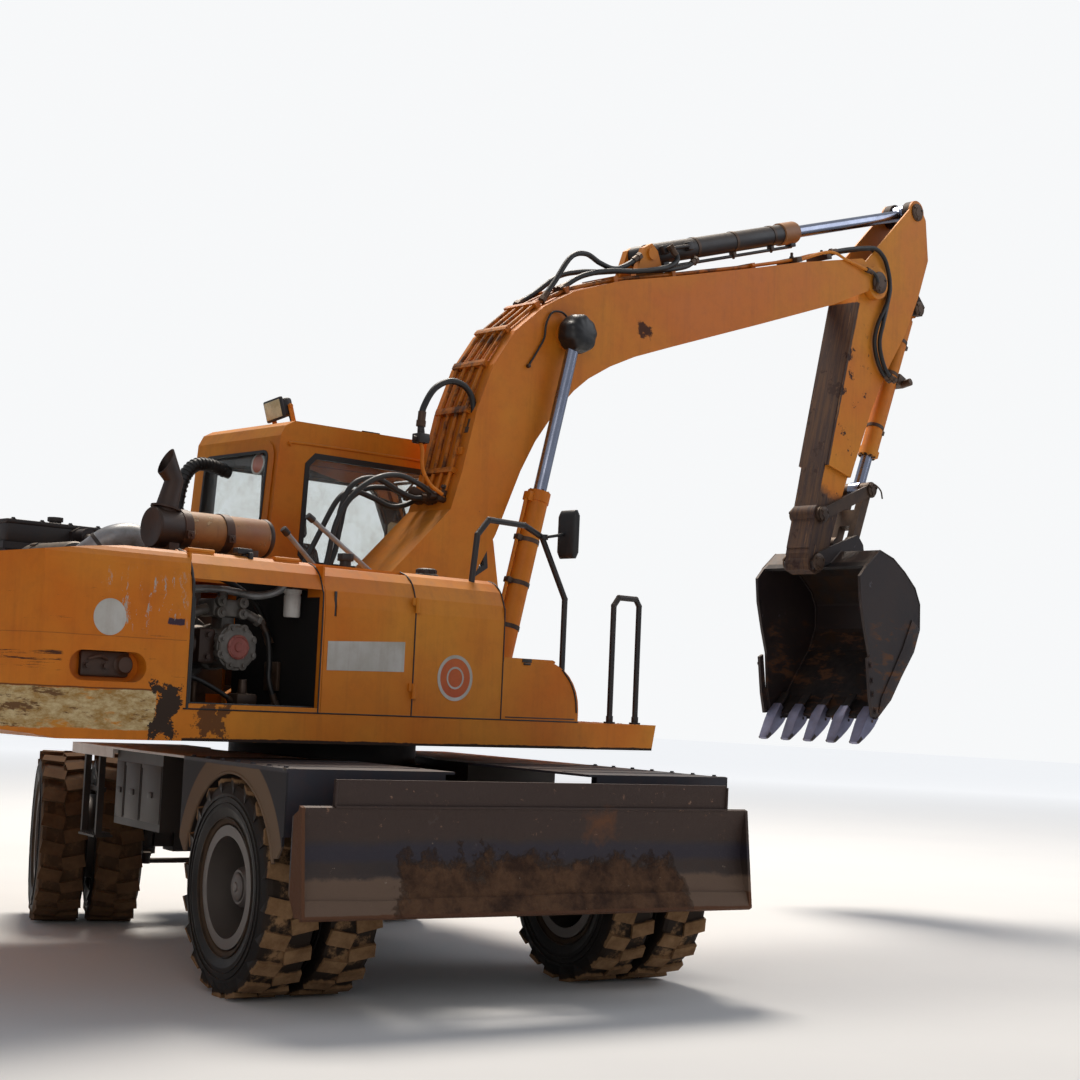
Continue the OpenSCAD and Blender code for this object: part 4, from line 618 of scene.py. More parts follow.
class EXCAVATOR_OT_stage(bpy.types.Operator):
    """Set the floor, the studio light and the camera at the photograph's angle"""

    bl_idname = "excavator.stage"
    bl_label = "Stage"

    def execute(self, context):
        self.add_floor()
        self.add_world(context)
        self.add_light("key_light", (5, 6, 16), 3500, 6, "FFF6EA")
        self.add_light("fill_light", (-11, -13, 7), 380, 10, "FFF8F0")
        self.add_light("side_light", (11, -7, 10), 330, 8, "F4F8FF")
        self.add_camera(context)
        context.scene.view_settings.view_transform = "Standard"
        return {"FINISHED"}

    def add_floor(self):
        """Plain pale floor that fades into the backdrop far from the machine."""
        floor = new_mesh("floor")
        bm = bmesh.new()
        bmesh.ops.create_grid(bm, x_segments=1, y_segments=1, size=60)
        bm.to_mesh(floor.data)
        bm.free()
        material, tree, shader = shader_material("studio_floor", Roughness=0.9)
        grain = noise(tree, object_coordinates(tree), 0.6, 3)
        pale = blend(tree, grain, (0.72, 0.72, 0.72, 1), (0.78, 0.78, 0.77, 1))
        tree.links.new(pale, shader["Base Color"])
        away = vector_maths(tree, "LENGTH", object_coordinates(tree), output="Value")
        shader["Emission Color"].default_value = BACKDROP
        seen = add_node(tree, "ShaderNodeLightPath").outputs["Is Camera Ray"]
        tree.links.new(times(tree, seen, ramp(tree, away, 6, 30, 0.0, 0.75)), shader["Emission Strength"])
        floor.data.materials.append(material)

    def add_world(self, context):
        """Soft grey light, with a pale backdrop where the camera or a pane looks past the machine."""
        world = bpy.data.worlds.new("studio")
        context.scene.world = world
        world.use_nodes = True
        tree = world.node_tree
        background = tree.nodes["Background"]
        path = tree.nodes.new("ShaderNodeLightPath").outputs
        seen = maths(tree, "MAXIMUM", path["Is Camera Ray"], path["Is Transmission Ray"])
        seen = maths(tree, "MAXIMUM", seen, times(tree, path["Is Glossy Ray"], 0.3))
        tree.links.new(blend(tree, seen, (0.6, 0.64, 0.72, 1), BACKDROP), background.inputs["Color"])
        tree.links.new(ramp(tree, seen, 0, 1, 0.36, 1.0), background.inputs["Strength"])

    def add_light(self, name, place, power, size, colour):
        data = bpy.data.lights.new(name, "AREA")
        data.energy, data.size, data.color = power, size, srgb(colour)
        light = bpy.data.objects.new(name, data)
        light.location = place
        aim = Vector((0.8, 0, 1.5)) - light.location
        light.rotation_euler = aim.to_track_quat("-Z", "Y").to_euler()
        bpy.context.scene.collection.objects.link(light)

    def add_camera(self, context):
        s = context.scene.excavator_view
        data = bpy.data.cameras.new("camera")
        data.lens, data.sensor_width = s.lens, 36
        data.clip_start, data.clip_end = 0.1, 200
        yaw, pitch, roll = s.heading, s.tilt, s.roll
        forward = Vector((math.sin(yaw) * math.cos(pitch), math.cos(yaw) * math.cos(pitch), math.sin(pitch)))
        right = Vector((math.cos(yaw), -math.sin(yaw), 0))
        up = right.cross(forward)
        x_axis = right * math.cos(roll) + up * math.sin(roll)
        y_axis = up * math.cos(roll) - right * math.sin(roll)
        turn = Matrix((x_axis, y_axis, -forward)).transposed()
        camera = bpy.data.objects.new("camera", data)
        camera.matrix_world = Matrix.Translation(s.place) @ turn.to_4x4()
        context.scene.collection.objects.link(camera)
        context.scene.camera = camera


class ViewSettings(bpy.types.PropertyGroup):
    """Camera of the photograph"""

    place: bpy.props.FloatVectorProperty(
        name="Place", description="Where the camera stands", subtype="TRANSLATION", default=(-6.523, -8.782, 1.443)
    )
    heading: bpy.props.FloatProperty(
        name="Heading", description="Turn from the +Y axis towards +X", subtype="ANGLE", default=math.radians(43.01)
    )
    tilt: bpy.props.FloatProperty(
        name="Tilt", description="Upward tilt", subtype="ANGLE", default=math.radians(5.076)
    )
    roll: bpy.props.FloatProperty(
        name="Roll", description="Roll about the view's axis", subtype="ANGLE", default=math.radians(2.488)
    )
    lens: bpy.props.FloatProperty(
        name="Lens", description="Focal length for a 36 mm sensor", subtype="DISTANCE_CAMERA", default=61.43
    )


# Mesh helpers


def new_mesh(name):
    obj = bpy.data.objects.new(name, bpy.data.meshes.new(name))
    bpy.context.scene.collection.objects.link(obj)
    return obj


def smooth_path(points, steps=8):
    """Points on a smooth curve through the given ones."""
    given = [Vector(p) for p in points]
    given = [2 * given[0] - given[1]] + given + [2 * given[-1] - given[-2]]
    path = []
    for a, b, c, d in zip(given, given[1:], given[2:], given[3:]):
        for k in range(steps):
            t = k / steps
            path.append(
                0.5 * (2 * b + (c - a) * t + (2 * a - 5 * b + 4 * c - d) * t**2 + (3 * b - a - 3 * c + d) * t**3)
            )
    return path + [given[-2]]


def frame_of(place, way):
    """Matrix whose +Z runs the given way from a place."""
    turn = Vector(way).to_track_quat("Z", "Y").to_matrix().to_4x4()
    return Matrix.Translation(place) @ turn


def side_points(points, y):
    """Side-view [x, z] points put at one y."""
    return [Vector((x, y, z)) for x, z in points]


def swayed(line, sway, y=0.0):
    """Side-view [x, z] points, each set off from one y by its own distance."""
    return [(x, y + w, z) for (x, z), w in zip(line, sway)]


def around(count, r, step=0.0, turn=0.0):
    """Flat offsets to points spaced evenly on a circle, set off by a share of a step or by an angle."""
    for k in range(count):
        a = 2 * math.pi * (k + step) / count + turn
        yield r * math.cos(a), r * math.sin(a)


class Shape:
    """The mesh of one piece while it is put together. New faces take the material slot in self.slot."""

    def __init__(self):
        self.mesh = bmesh.new()
        self.slot = 0

    def settle(self, verts, bevel=0.0, segments=2):
        """Gives new vertices' faces their slot and rounds their sharp edges."""
        chosen = set(verts)
        for vert in verts:
            for face in vert.link_faces:
                face.material_index = self.slot
        edges = [e for e in self.mesh.edges if e.verts[0] in chosen and len(e.link_faces) == 2]
        edges = [e for e in edges if bevel and e.calc_face_angle() > 0.6]
        if edges:
            bmesh.ops.bevel(
                self.mesh, geom=edges, offset=bevel, segments=segments, profile=0.5, affect="EDGES", material=-1
            )

    def box(self, p, q, bevel=0.004, turn=None):
        """Block between any two opposite corners, with rounded edges, turned by a matrix if one is given."""
        p, q = Vector(p), Vector(q)
        size = (abs(side) for side in q - p)
        place = Matrix.Translation((p + q) / 2) @ Matrix.Diagonal((*size, 1))
        place = turn @ place if turn else place
        self.settle(bmesh.ops.create_cube(self.mesh, size=1, matrix=place)["verts"], bevel)

    def bar(self, p, q, r, end=None, sides=24, bevel=0.0015):
        """Round bar from p to q, or a taper to the radius end."""
        p, q = Vector(p), Vector(q)
        place = frame_of((p + q) / 2, q - p)
        made = bmesh.ops.create_cone(
            self.mesh,
            cap_ends=True,
            segments=sides,
            radius1=r,
            radius2=r if end is None else end,
            depth=(q - p).length,
            matrix=place,
        )
        self.settle(made["verts"], bevel)

    def bolt(self, place, way, r=0.014, height=0.012):
        """Hexagon head on a washer."""
        place, way = Vector(place), Vector(way).normalized()
        self.bar(place, place + way * height * 0.25, r * 1.45, sides=16, bevel=0)
        self.bar(place, place + way * height, r, r * 0.94, sides=6, bevel=0)

    def skin(self, rings, caps=True):
        for low, high in zip(rings, rings[1:]):
            for i in range(len(low)):
                j = (i + 1) % len(low)
                self.mesh.faces.new((low[i], low[j], high[j], high[i]))
        if caps:
            self.mesh.faces.new(rings[0])
            self.mesh.faces.new(rings[-1])
        self.settle([v for ring in rings for v in ring])

    def tube(self, points, r, sides=10, steps=0):
        """Round tube along points, or along a smooth curve through them, in steps from one to the next."""
        points = smooth_path(points, steps) if steps else [Vector(p) for p in points]
        rings, normal = [], None
        for i, point in enumerate(points):
            way = (points[min(i + 1, len(points) - 1)] - points[max(i - 1, 0)]).normalized()
            normal = way.orthogonal() if normal is None else normal
            normal = (normal - way * normal.dot(way)).normalized()
            side = way.cross(normal)
            angles = [2 * math.pi * k / sides for k in range(sides)]
            rings.append([self.mesh.verts.new(point + r * (normal * math.cos(a) + side * math.sin(a))) for a in angles])
        self.skin(rings)

    def hose(self, points, r, steps=8, ends=True):
        """Hose through points in slot 0, with its crimped ends and nuts in slot 1."""
        path = smooth_path(points, steps)
        self.slot = 0
        self.tube(path, r)
        if ends:
            self.slot = 1
            for end, inner in ((path[0], path[1]), (path[-1], path[-2])):
                way = (inner - end).normalized()
                self.bar(end, end + way * r * 4, r * 1.25, sides=12, bevel=0)
                self.bar(end - way * r * 0.6, end + way * r * 1.2, r * 1.6, sides=6, bevel=0)
            self.slot = 0

    def lathe(self, profile, place, sides=32):
        """Turned form from [radius, along] points about the matrix's Z axis."""
        rings = []
        for radius, along in profile:
            rings.append([self.mesh.verts.new(place @ Vector((x, y, along))) for x, y in around(sides, radius)])
        self.skin(rings, caps=False)

    def plate(self, outline, depth, bevel=0.0):
        """Flat plate: a closed outline of points pushed out by the vector depth."""
        near = [self.mesh.verts.new(p) for p in outline]
        face = self.mesh.faces.new(near)
        made = bmesh.ops.extrude_face_region(self.mesh, geom=[face])["geom"]
        far = [v for v in made if isinstance(v, bmesh.types.BMVert)]
        bmesh.ops.translate(self.mesh, verts=far, vec=Vector(depth))
        self.settle(near + far, bevel)

    def band(self, outer, inner, depth):
        """Flat frame between two closed lines of as many points, pushed out by depth."""
        lines = [[Vector(p) for p in line] for line in (outer, outer, inner, inner)]
        lines[1] = [p + Vector(depth) for p in lines[1]]
        lines[2] = [p + Vector(depth) for p in lines[2]]
        loops = [[self.mesh.verts.new(p) for p in line] for line in lines]
        self.skin(loops + [loops[0]], caps=False)

    def piece(self, name, materials, body=None, turn=None, smooth=40):
        """Makes the object, with its finishes, riding on a body."""
        bmesh.ops.remove_doubles(self.mesh, verts=self.mesh.verts, dist=0.00003)
        bmesh.ops.recalc_face_normals(self.mesh, faces=self.mesh.faces)
        if turn:
            bmesh.ops.transform(self.mesh, matrix=turn, verts=self.mesh.verts)
        obj = new_mesh(name)
        self.mesh.to_mesh(obj.data)
        self.mesh.free()
        for material in materials.split():
            obj.data.materials.append(finish(material))
        obj.data.shade_smooth()
        obj.data.set_sharp_from_angle(angle=math.radians(smooth))
        if body:
            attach(obj, body)
        return obj


def grown(points, by):
    """A closed line of flat [a, b] points moved out by a distance, or in if it is negative."""
    area = sum(p[0] * q[1] - q[0] * p[1] for p, q in zip(points, points[1:] + points[:1]))
    sign = 1 if area > 0 else -1
    moved = []
    for before, here, after in zip(points[-1:] + points[:-1], points, points[1:] + points[:1]):
        d1 = (Vector(here) - Vector(before)).normalized()
        d2 = (Vector(after) - Vector(here)).normalized()
        n = Vector((d1.y + d2.y, -d1.x - d2.x)) * sign
        moved.append(tuple(Vector(here) + n * by / max(n.length_squared / 2, 0.4)))
    return moved


# Boom and arm

# The pipes along the boom, across from its middle plane
PIPE_PLACES = (-0.12, -0.04, 0.04, 0.12)


class EXCAVATOR_OT_boom_lines(bpy.types.Operator):
    """Pipe ends, clamps and hoses of the boom and arm"""

    bl_idname = "excavator.boom_lines"
    bl_label = "Boom lines"

    def execute(self, context):
        self.foot_manifold()
        self.foot_hoses()
        self.loop_hose()
        self.cylinder_hoses()
        self.nose_lines()
        return {"FINISHED"}

    def foot_manifold(self):
        shape = Shape()
        low, high = Vector((0.69, 0, 2.664)), Vector((0.752, 0, 2.853))
        for y in PIPE_PLACES:
            side = Vector((0, BOOM_Y + y, 0))
            shape.tube([low + side, high + side], 0.013, 12)
            shape.slot = 1
            shape.bar(low + side + Vector((-0.05, 0, 0.005)), low + side + Vector((0.02, 0, -0.002)), 0.021, sides=6)
            shape.bar(low + side + Vector((0.004, 0, 0.02)), low + side + Vector((0.016, 0, 0.055)), 0.02, sides=6)
            shape.slot = 0
        shape.slot = 1
        turn = frame_of(low + Vector((0.012, BOOM_Y, -0.004)), high - low)
        shape.box((-0.17, -0.028, -0.024), (0.17, 0.022, 0.024), 0.004, turn @ Matrix.Rotation(math.pi / 2, 4, "Z"))
        for y in (-0.15, 0, 0.15):
            shape.bolt((0.678, BOOM_Y + y, 2.735), (-0.95, 0, 0.31), 0.012, 0.02)
        shape.piece("boom_foot_manifold", "orange greasy_steel", "boom")
        # A fifth pipe stands off the boom and carries the coupler of the spare circuit
        shape = Shape()
        shape.tube(
            [(0.66, -0.19, 2.69), (0.56, -0.19, 2.74), (0.5, -0.185, 2.83), (0.5, -0.175, 2.94), (0.49, -0.16, 3.0)],
            0.012,
            12,
            steps=8,
        )
        shape.slot = 1
        shape.box((0.455, -0.2, 2.985), (0.535, -0.12, 3.045), 0.008)
        shape.bar((0.44, -0.16, 3.01), (0.555, -0.16, 3.02), 0.018, sides=6)
        shape.bar((0.495, -0.16, 3.04), (0.49, -0.16, 3.1), 0.024, 0.02, sides=12)
        shape.piece("spare_circuit_pipe", "orange black_paint", "boom")

    def foot_hoses(self):
        lines = (
            [(0.62, 2.685), (0.5, 2.735), (0.33, 2.77), (0.15, 2.73), (0, 2.62), (-0.1, 2.45), (-0.15, 2.2)],
            [(0.62, 2.67), (0.52, 2.66), (0.4, 2.69), (0.22, 2.745), (0.06, 2.69), (-0.02, 2.52), (-0.05, 2.25)],
            [(0.62, 2.665), (0.53, 2.62), (0.42, 2.6), (0.28, 2.64), (0.14, 2.66), (0.02, 2.6), (-0.12, 2.36)],
            [(0.62, 2.68), (0.48, 2.72), (0.3, 2.7), (0.17, 2.6), (0.12, 2.45), (0.06, 2.25), (-0.08, 2.05)],
        )
        for number, (y, line) in enumerate(zip(PIPE_PLACES, lines)):
            tail = [(-0.22 - 0.05 * number, 1.98), (-0.33 - 0.05 * number, 1.84), (-0.36 - 0.05 * number, 1.74)]
            shape = Shape()
            line = [(0.655, line[0][1] - 0.002)] + line + tail
            sway = [y, y, y * 1.05, y * 1.15, y * 1.25, y * 1.15, y, y * 0.9, y * 0.85, y * 0.8, y * 0.8]
            shape.hose(swayed(line, sway, BOOM_Y), 0.017)
            obj = shape.piece(f"boom_foot_hose_{number}", "rubber greasy_steel")
            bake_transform(obj)

    def loop_hose(self):
        shape = Shape()
        line = [
            (0.49, 3.1), (0.5, 3.2), (0.575, 3.33), (0.69, 3.395), (0.8, 3.38), (0.865, 3.31), (0.88, 3.22),
            (0.855, 3.1),
        ]
        sway = [-0.16, -0.162, -0.168, -0.178, -0.187, -0.19, -0.19, -0.185]
        shape.hose(swayed(line, sway), 0.02)
        shape.piece("spare_circuit_hose", "rubber greasy_steel", "boom")
        shape = Shape()
        shape.tube([(0.852, -0.185, 3.1), (0.82, -0.185, 2.97), (0.8, -0.175, 2.86)], 0.013, 12)
        shape.box((0.785, -0.2, 2.95), (0.83, -0.155, 3.0), 0.005)
        shape.piece("spare_circuit_return", "orange", "boom")

    def cylinder_hoses(self):
        # Hoses from the last clamp before the bracket to the ports of the arm cylinder
        runs = (
            (
                -0.12,
                [
                    (1.45, 4.045), (1.56, 4.19), (1.7, 4.38), (1.84, 4.43), (1.98, 4.395), (2.12, 4.385), (2.25, 4.44),
                    (2.36, 4.52),
                ],
            ),
            (0.12, [(1.45, 4.045), (1.6, 4.15), (1.8, 4.3), (2.0, 4.37), (2.2, 4.41), (2.4, 4.47), (2.5, 4.53)]),
        )
        shape = Shape()
        for y, line in runs:
            sway = [y * (1 - 0.25 * k / len(line)) for k in range(len(line))]
            shape.hose(swayed(line, sway, BOOM_Y), 0.018)
        shape.piece("boom_back_hoses", "rubber greasy_steel", "boom")
        shape = Shape()
        line = [
            (1.62, 4.15), (1.8, 4.27), (2.02, 4.345), (2.25, 4.385), (2.45, 4.435), (2.6, 4.49), (2.68, 4.56),
            (2.63, 4.635),
        ]
        sway = [-0.14, -0.15, -0.17, -0.19, -0.2, -0.2, -0.19, -0.165]
        shape.hose(swayed(line, sway), 0.018)
        line = [(1.62, 4.15), (1.85, 4.29), (2.1, 4.36), (2.35, 4.41), (2.6, 4.465), (2.8, 4.53), (2.9, 4.6)]
        shape.hose(swayed(line, sway, 0.03), 0.016)
        obj = shape.piece("arm_cylinder_hoses", "rubber greasy_steel")
        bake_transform(obj)

    def nose_lines(self):
        shape = Shape()
        for y, last in ((-0.15, (4.38, 4.948)), (-0.075, (4.4, 4.948))):
            line = [(3.47, 4.664), (3.95, 4.805), (4.24, 4.908), last]
            shape.tube(side_points(line, BOOM_Y + y), 0.012, 12, steps=8)
        shape.tube(
            [(3.95, -0.22, 4.79), (4.3, -0.235, 4.925), (4.5, -0.252, 4.9), (4.74, -0.262, 4.87)], 0.011, 12, steps=8
        )
        shape.slot = 1
        for x, z, turn in ((3.95, 4.79, -0.27), (4.3, 4.88, -0.27)):
            place = Matrix.Translation((x, -0.13, z)) @ Matrix.Rotation(turn, 4, "Y")
            shape.box((-0.03, -0.11, -0.01), (0.03, 0.09, 0.03), 0.004, place)
            shape.bolt((x, -0.16, z + 0.03), (0, 0, 1), 0.012, 0.04)
        shape.piece("nose_pipes", "orange greasy_steel", "boom")
        shape = Shape()
        shape.hose([(4.74, -0.262, 4.87), (4.82, -0.268, 4.855), (4.865, -0.268, 4.8), (4.85, -0.262, 4.74)], 0.014)
        shape.piece("nose_hose", "rubber greasy_steel", "boom")
        for number, (y, out) in enumerate(((-0.2, 0.0), (-0.155, 0.03))):
            shape = Shape()
            line = [
                (4.38, 4.948), (4.6, 5.015), (4.8, 5.065), (4.92, 5.08), (5.03, 5.03), (5.09, 4.93), (5.1, 4.82),
                (5.06, 4.68), (4.97, 4.5),
            ]
            line += [(4.935, 4.36), (4.965, 4.24), (5.04, 4.13), (5.14, 4.08)]
            sway = [-0.185 + 0.075 * number, -0.185 + 0.05 * number, -0.185, y, y, y, y - 0.01, y - 0.02]
            sway += [-0.205, -0.202, -0.2, -0.2, -0.2]
            sway = [w - 0.025 * number * (k > 5) for k, w in enumerate(sway)]
            shape.hose(swayed([(x + out, z) for x, z in line], sway), 0.017)
            obj = shape.piece(f"arm_hose_{number}", "rubber greasy_steel")
            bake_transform(obj)


class EXCAVATOR_OT_cylinders(bpy.types.Operator):
    """Pipes, clamps and gland bolts of the cylinders, the rod pin's cover and the pin caps"""

    bl_idname = "excavator.cylinders"
    bl_label = "Cylinder fittings"

    def execute(self, context):
        self.boom_cylinders()
        self.arm_cylinder()
        self.bucket_cylinder()
        self.rod_pin_covers()
        self.pin_caps()
        return {"FINISHED"}

    def along(self, foot, eye, y):
        """Matrix at a cylinder's foot pin, +Z towards its eye and +Y across the machine."""
        way = Vector((eye[0] - foot[0], 0, eye[1] - foot[1])).normalized()
        turn = Matrix((way.cross(Vector((0, 1, 0))) * -1, Vector((0, 1, 0)), way)).transposed()
        return Matrix.Translation((foot[0], y, foot[1])) @ turn.to_4x4()

    def gland(self, shape, place, length, r):
        for x, y in around(8, r - 0.014, 0.5):
            shape.bolt(place @ Vector((x, y, length)), place.to_3x3() @ Vector((0, 0, 1)), 0.008, 0.009)

    def clamp(self, shape, place, at, r, side):
        """Band round a barrel with the block that holds its pipe on one side."""
        profile = [(r, -0.014), (r + 0.004, -0.014), (r + 0.004, 0.014), (r, 0.014), (r, -0.014)]
        shape.lathe(profile, place @ Matrix.Translation((0, 0, at)), 32)
        block = place @ Matrix.Translation((0, 0, at)) @ Matrix.Rotation(side, 4, "Z")
        shape.box((r - 0.002, -0.022, -0.018), (r + 0.04, 0.022, 0.018), 0.003, block)
        shape.bolt(block @ Vector((r + 0.04, 0, 0)), block.to_3x3() @ Vector((1, 0, 0)), 0.009, 0.01)

    def pipe(self, shape, place, start, end, r, side):
        """Pipe along a barrel between its port and its gland."""
        turn = place @ Matrix.Rotation(side, 4, "Z")
        line = [(r - 0.01, 0, start), (r + 0.026, 0, start + 0.02), (r + 0.028, 0, start + 0.12)]
        line += [(r + 0.028, 0, end - 0.12), (r + 0.026, 0, end - 0.02), (r - 0.005, 0, end)]
        shape.tube([turn @ p for p in smooth_path(line, 6)], 0.012, 12)
        for at in (start, end):
            shape.box((r - 0.012, -0.03, at - 0.03), (r + 0.034, 0.03, at + 0.03), 0.006, turn)

    def boom_cylinders(self):
        pipes, clamps = Shape(), Shape()
        for y in (BOOM_Y - 0.2875, BOOM_Y + 0.2875):
            place = self.along(*BOOM_CYLINDER, y)
            side = math.radians(180)
            self.pipe(pipes, place, 0.2, 1.255, 0.068, side)
            for at in (0.42, 0.7, 0.98):
                self.clamp(clamps, place, at, 0.068, side)
            self.gland(clamps, place, 1.308, 0.074)
        pipes.piece("boom_cylinder_pipes", "orange", "boom_barrels")
        clamps.piece("boom_cylinder_clamps", "greasy_steel", "boom_barrels")

    def arm_cylinder(self):
        pipes, clamps = Shape(), Shape()
        place = self.along(*ARM_CYLINDER, BOOM_Y)
        self.pipe(pipes, place, 0.22, 1.66, 0.074, 0)
        self.pipe(pipes, place, 0.16, 0.42, 0.074, math.radians(-100))
        for at in (0.55, 0.98, 1.42):
            self.clamp(clamps, place, at, 0.074, 0)
        self.gland(clamps, place, 1.711, 0.08)
        # Tan gland over the end of the dark barrel
        profile = [(0.0745, 1.53), (0.0845, 1.535), (0.0845, 1.7), (0.0815, 1.7105), (0.0745, 1.7105), (0.0745, 1.53)]
        sleeve = Shape()
        sleeve.lathe(profile, place, 40)
        sleeve.piece("arm_cylinder_gland", "tan_paint", "arm_barrel")
        pipes.piece("arm_cylinder_pipes", "black_paint", "arm_barrel")
        clamps.piece("arm_cylinder_clamps", "greasy_steel", "arm_barrel")

    def bucket_cylinder(self):
        pipes, clamps = Shape(), Shape()
        place = self.along(*BUCKET_CYLINDER, BOOM_Y)
        outer = math.radians(180)
        self.pipe(pipes, place, 0.6, 1.28, 0.066, outer)
        for at in (0.3, 0.6):
            self.clamp(clamps, place, at, 0.066, outer)
        clamps.box((-0.16, -0.05, 0.55), (-0.062, 0.05, 0.64), 0.01, place)
        clamps.bar(place @ Vector((-0.13, -0.04, 0.62)), place @ Vector((-0.13, -0.12, 0.6)), 0.03, sides=12)
        clamps.bar(place @ Vector((-0.15, 0.02, 0.59)), place @ Vector((-0.24, 0.02, 0.54)), 0.022, 0.03, sides=12)
        self.clamp(clamps, place, 1.08, 0.066, outer)
        self.gland(clamps, place, 1.335, 0.072)
        pipes.piece("bucket_cylinder_pipes", "orange", "bucket_barrel")
        clamps.piece("bucket_cylinder_clamps", "greasy_steel", "bucket_barrel")

    def rod_pin_covers(self):
        # Wrapped rubber cover over the right end of the boom cylinders' rod pin
        cover = Shape()
        eye_x, eye_z = BOOM_CYLINDER[1]
        place = frame_of((eye_x, -0.262, eye_z), (0, -1, 0))
        profile = [(0.083, 0.0), (0.112, 0.008), (0.126, 0.03), (0.123, 0.06), (0.129, 0.085), (0.122, 0.115)]
        profile += [(0.108, 0.14), (0.075, 0.155), (0.03, 0.16), (0, 0.16)]
        cover.lathe(profile, place, 48)
        for vert in cover.mesh.verts:
            x, y, z = vert.co - Vector((eye_x, 0, eye_z))
            fold = math.sin(9 * math.atan2(z, x) + 14 * y) * 0.004 + math.sin(5 * math.atan2(z, x) - 31 * y) * 0.003
            out = Vector((x, 0, z))
            if out.length > 0.05:
                vert.co += out.normalized() * fold + Vector((0.008, 0, 0.004)) * math.sin(12 * y)
        obj = cover.piece("rod_pin_cover", "cover_rubber", "boom_rods", smooth=80)
        add_subdivision(obj, 1)
        hose = Shape()
        line = [(1.592, -0.268, 3.93), (1.53, -0.262, 3.965), (1.45, -0.257, 3.95), (1.405, -0.255, 3.87)]
        line += [(1.395, -0.253, 3.78), (1.345, -0.252, 3.69), (1.27, -0.25, 3.575)]
        hose.hose(line, 0.007, ends=False)
        hose.slot = 1
        hose.bar((1.27, -0.241, 3.575), (1.27, -0.262, 3.575), 0.014, sides=6)
        hose.piece("grease_hose", "rubber greasy_steel", "boom")

    def pin_caps(self):
        """Round covers with their bolts over the ends of the main pins."""
        for body, name, place, half, r in (
            ("boom", "nose_pin_caps", NOSE_PIN, 0.217, 0.085),
            ("upper", "foot_pin_caps", FOOT_PIN, 0.255, 0.08),
            ("arm", "arm_eye_caps", ARM_CYLINDER[1], 0.1395, 0.07),
            ("arm", "bucket_foot_caps", BUCKET_CYLINDER[0], 0.1105, 0.06),
            ("bucket", "bucket_pin_caps", BUCKET_PIN, 0.1385, 0.065),
            ("idler_links", "idler_caps", IDLER_PIN, 0.1365, 0.055),
            ("idler_links", "rod_end_caps", BUCKET_CYLINDER[1], 0.1365, 0.052),
            ("upper", "boom_cylinder_foot_caps", BOOM_CYLINDER[0], 0.35, 0.06),
        ):
            shape = Shape()
            for s in (-1, 1):
                turn = frame_of((place[0], BOOM_Y + s * half, place[1]), (0, s, 0))
                profile = [
                    (0, 0.0), (r, 0.0), (r, 0.01), (r - 0.006, 0.015), (r * 0.55, 0.016), (r * 0.5, 0.021), (0, 0.022)
                ]
                shape.lathe(profile, turn, 36)
                for x, y in around(3, 0.75 * r, turn=0.4):
                    shape.bolt(turn @ Vector((x, y, 0.014)), (0, s, 0), 0.01, 0.009)
            shape.piece(name, "greasy_steel", body)


def add_subdivision(obj, levels):
    modifier = obj.modifiers.new("smooth", "SUBSURF")
    modifier.levels = modifier.render_levels = levels


# Upper structure

SIDE_FACE = [
    (RIGHT_FACE, 1.345), (RIGHT_FACE, 1.89), (-1.2255, 1.97), (-1.1925, 2.045), (-1.1425, 2.09), (-1.0875, 2.11)
]


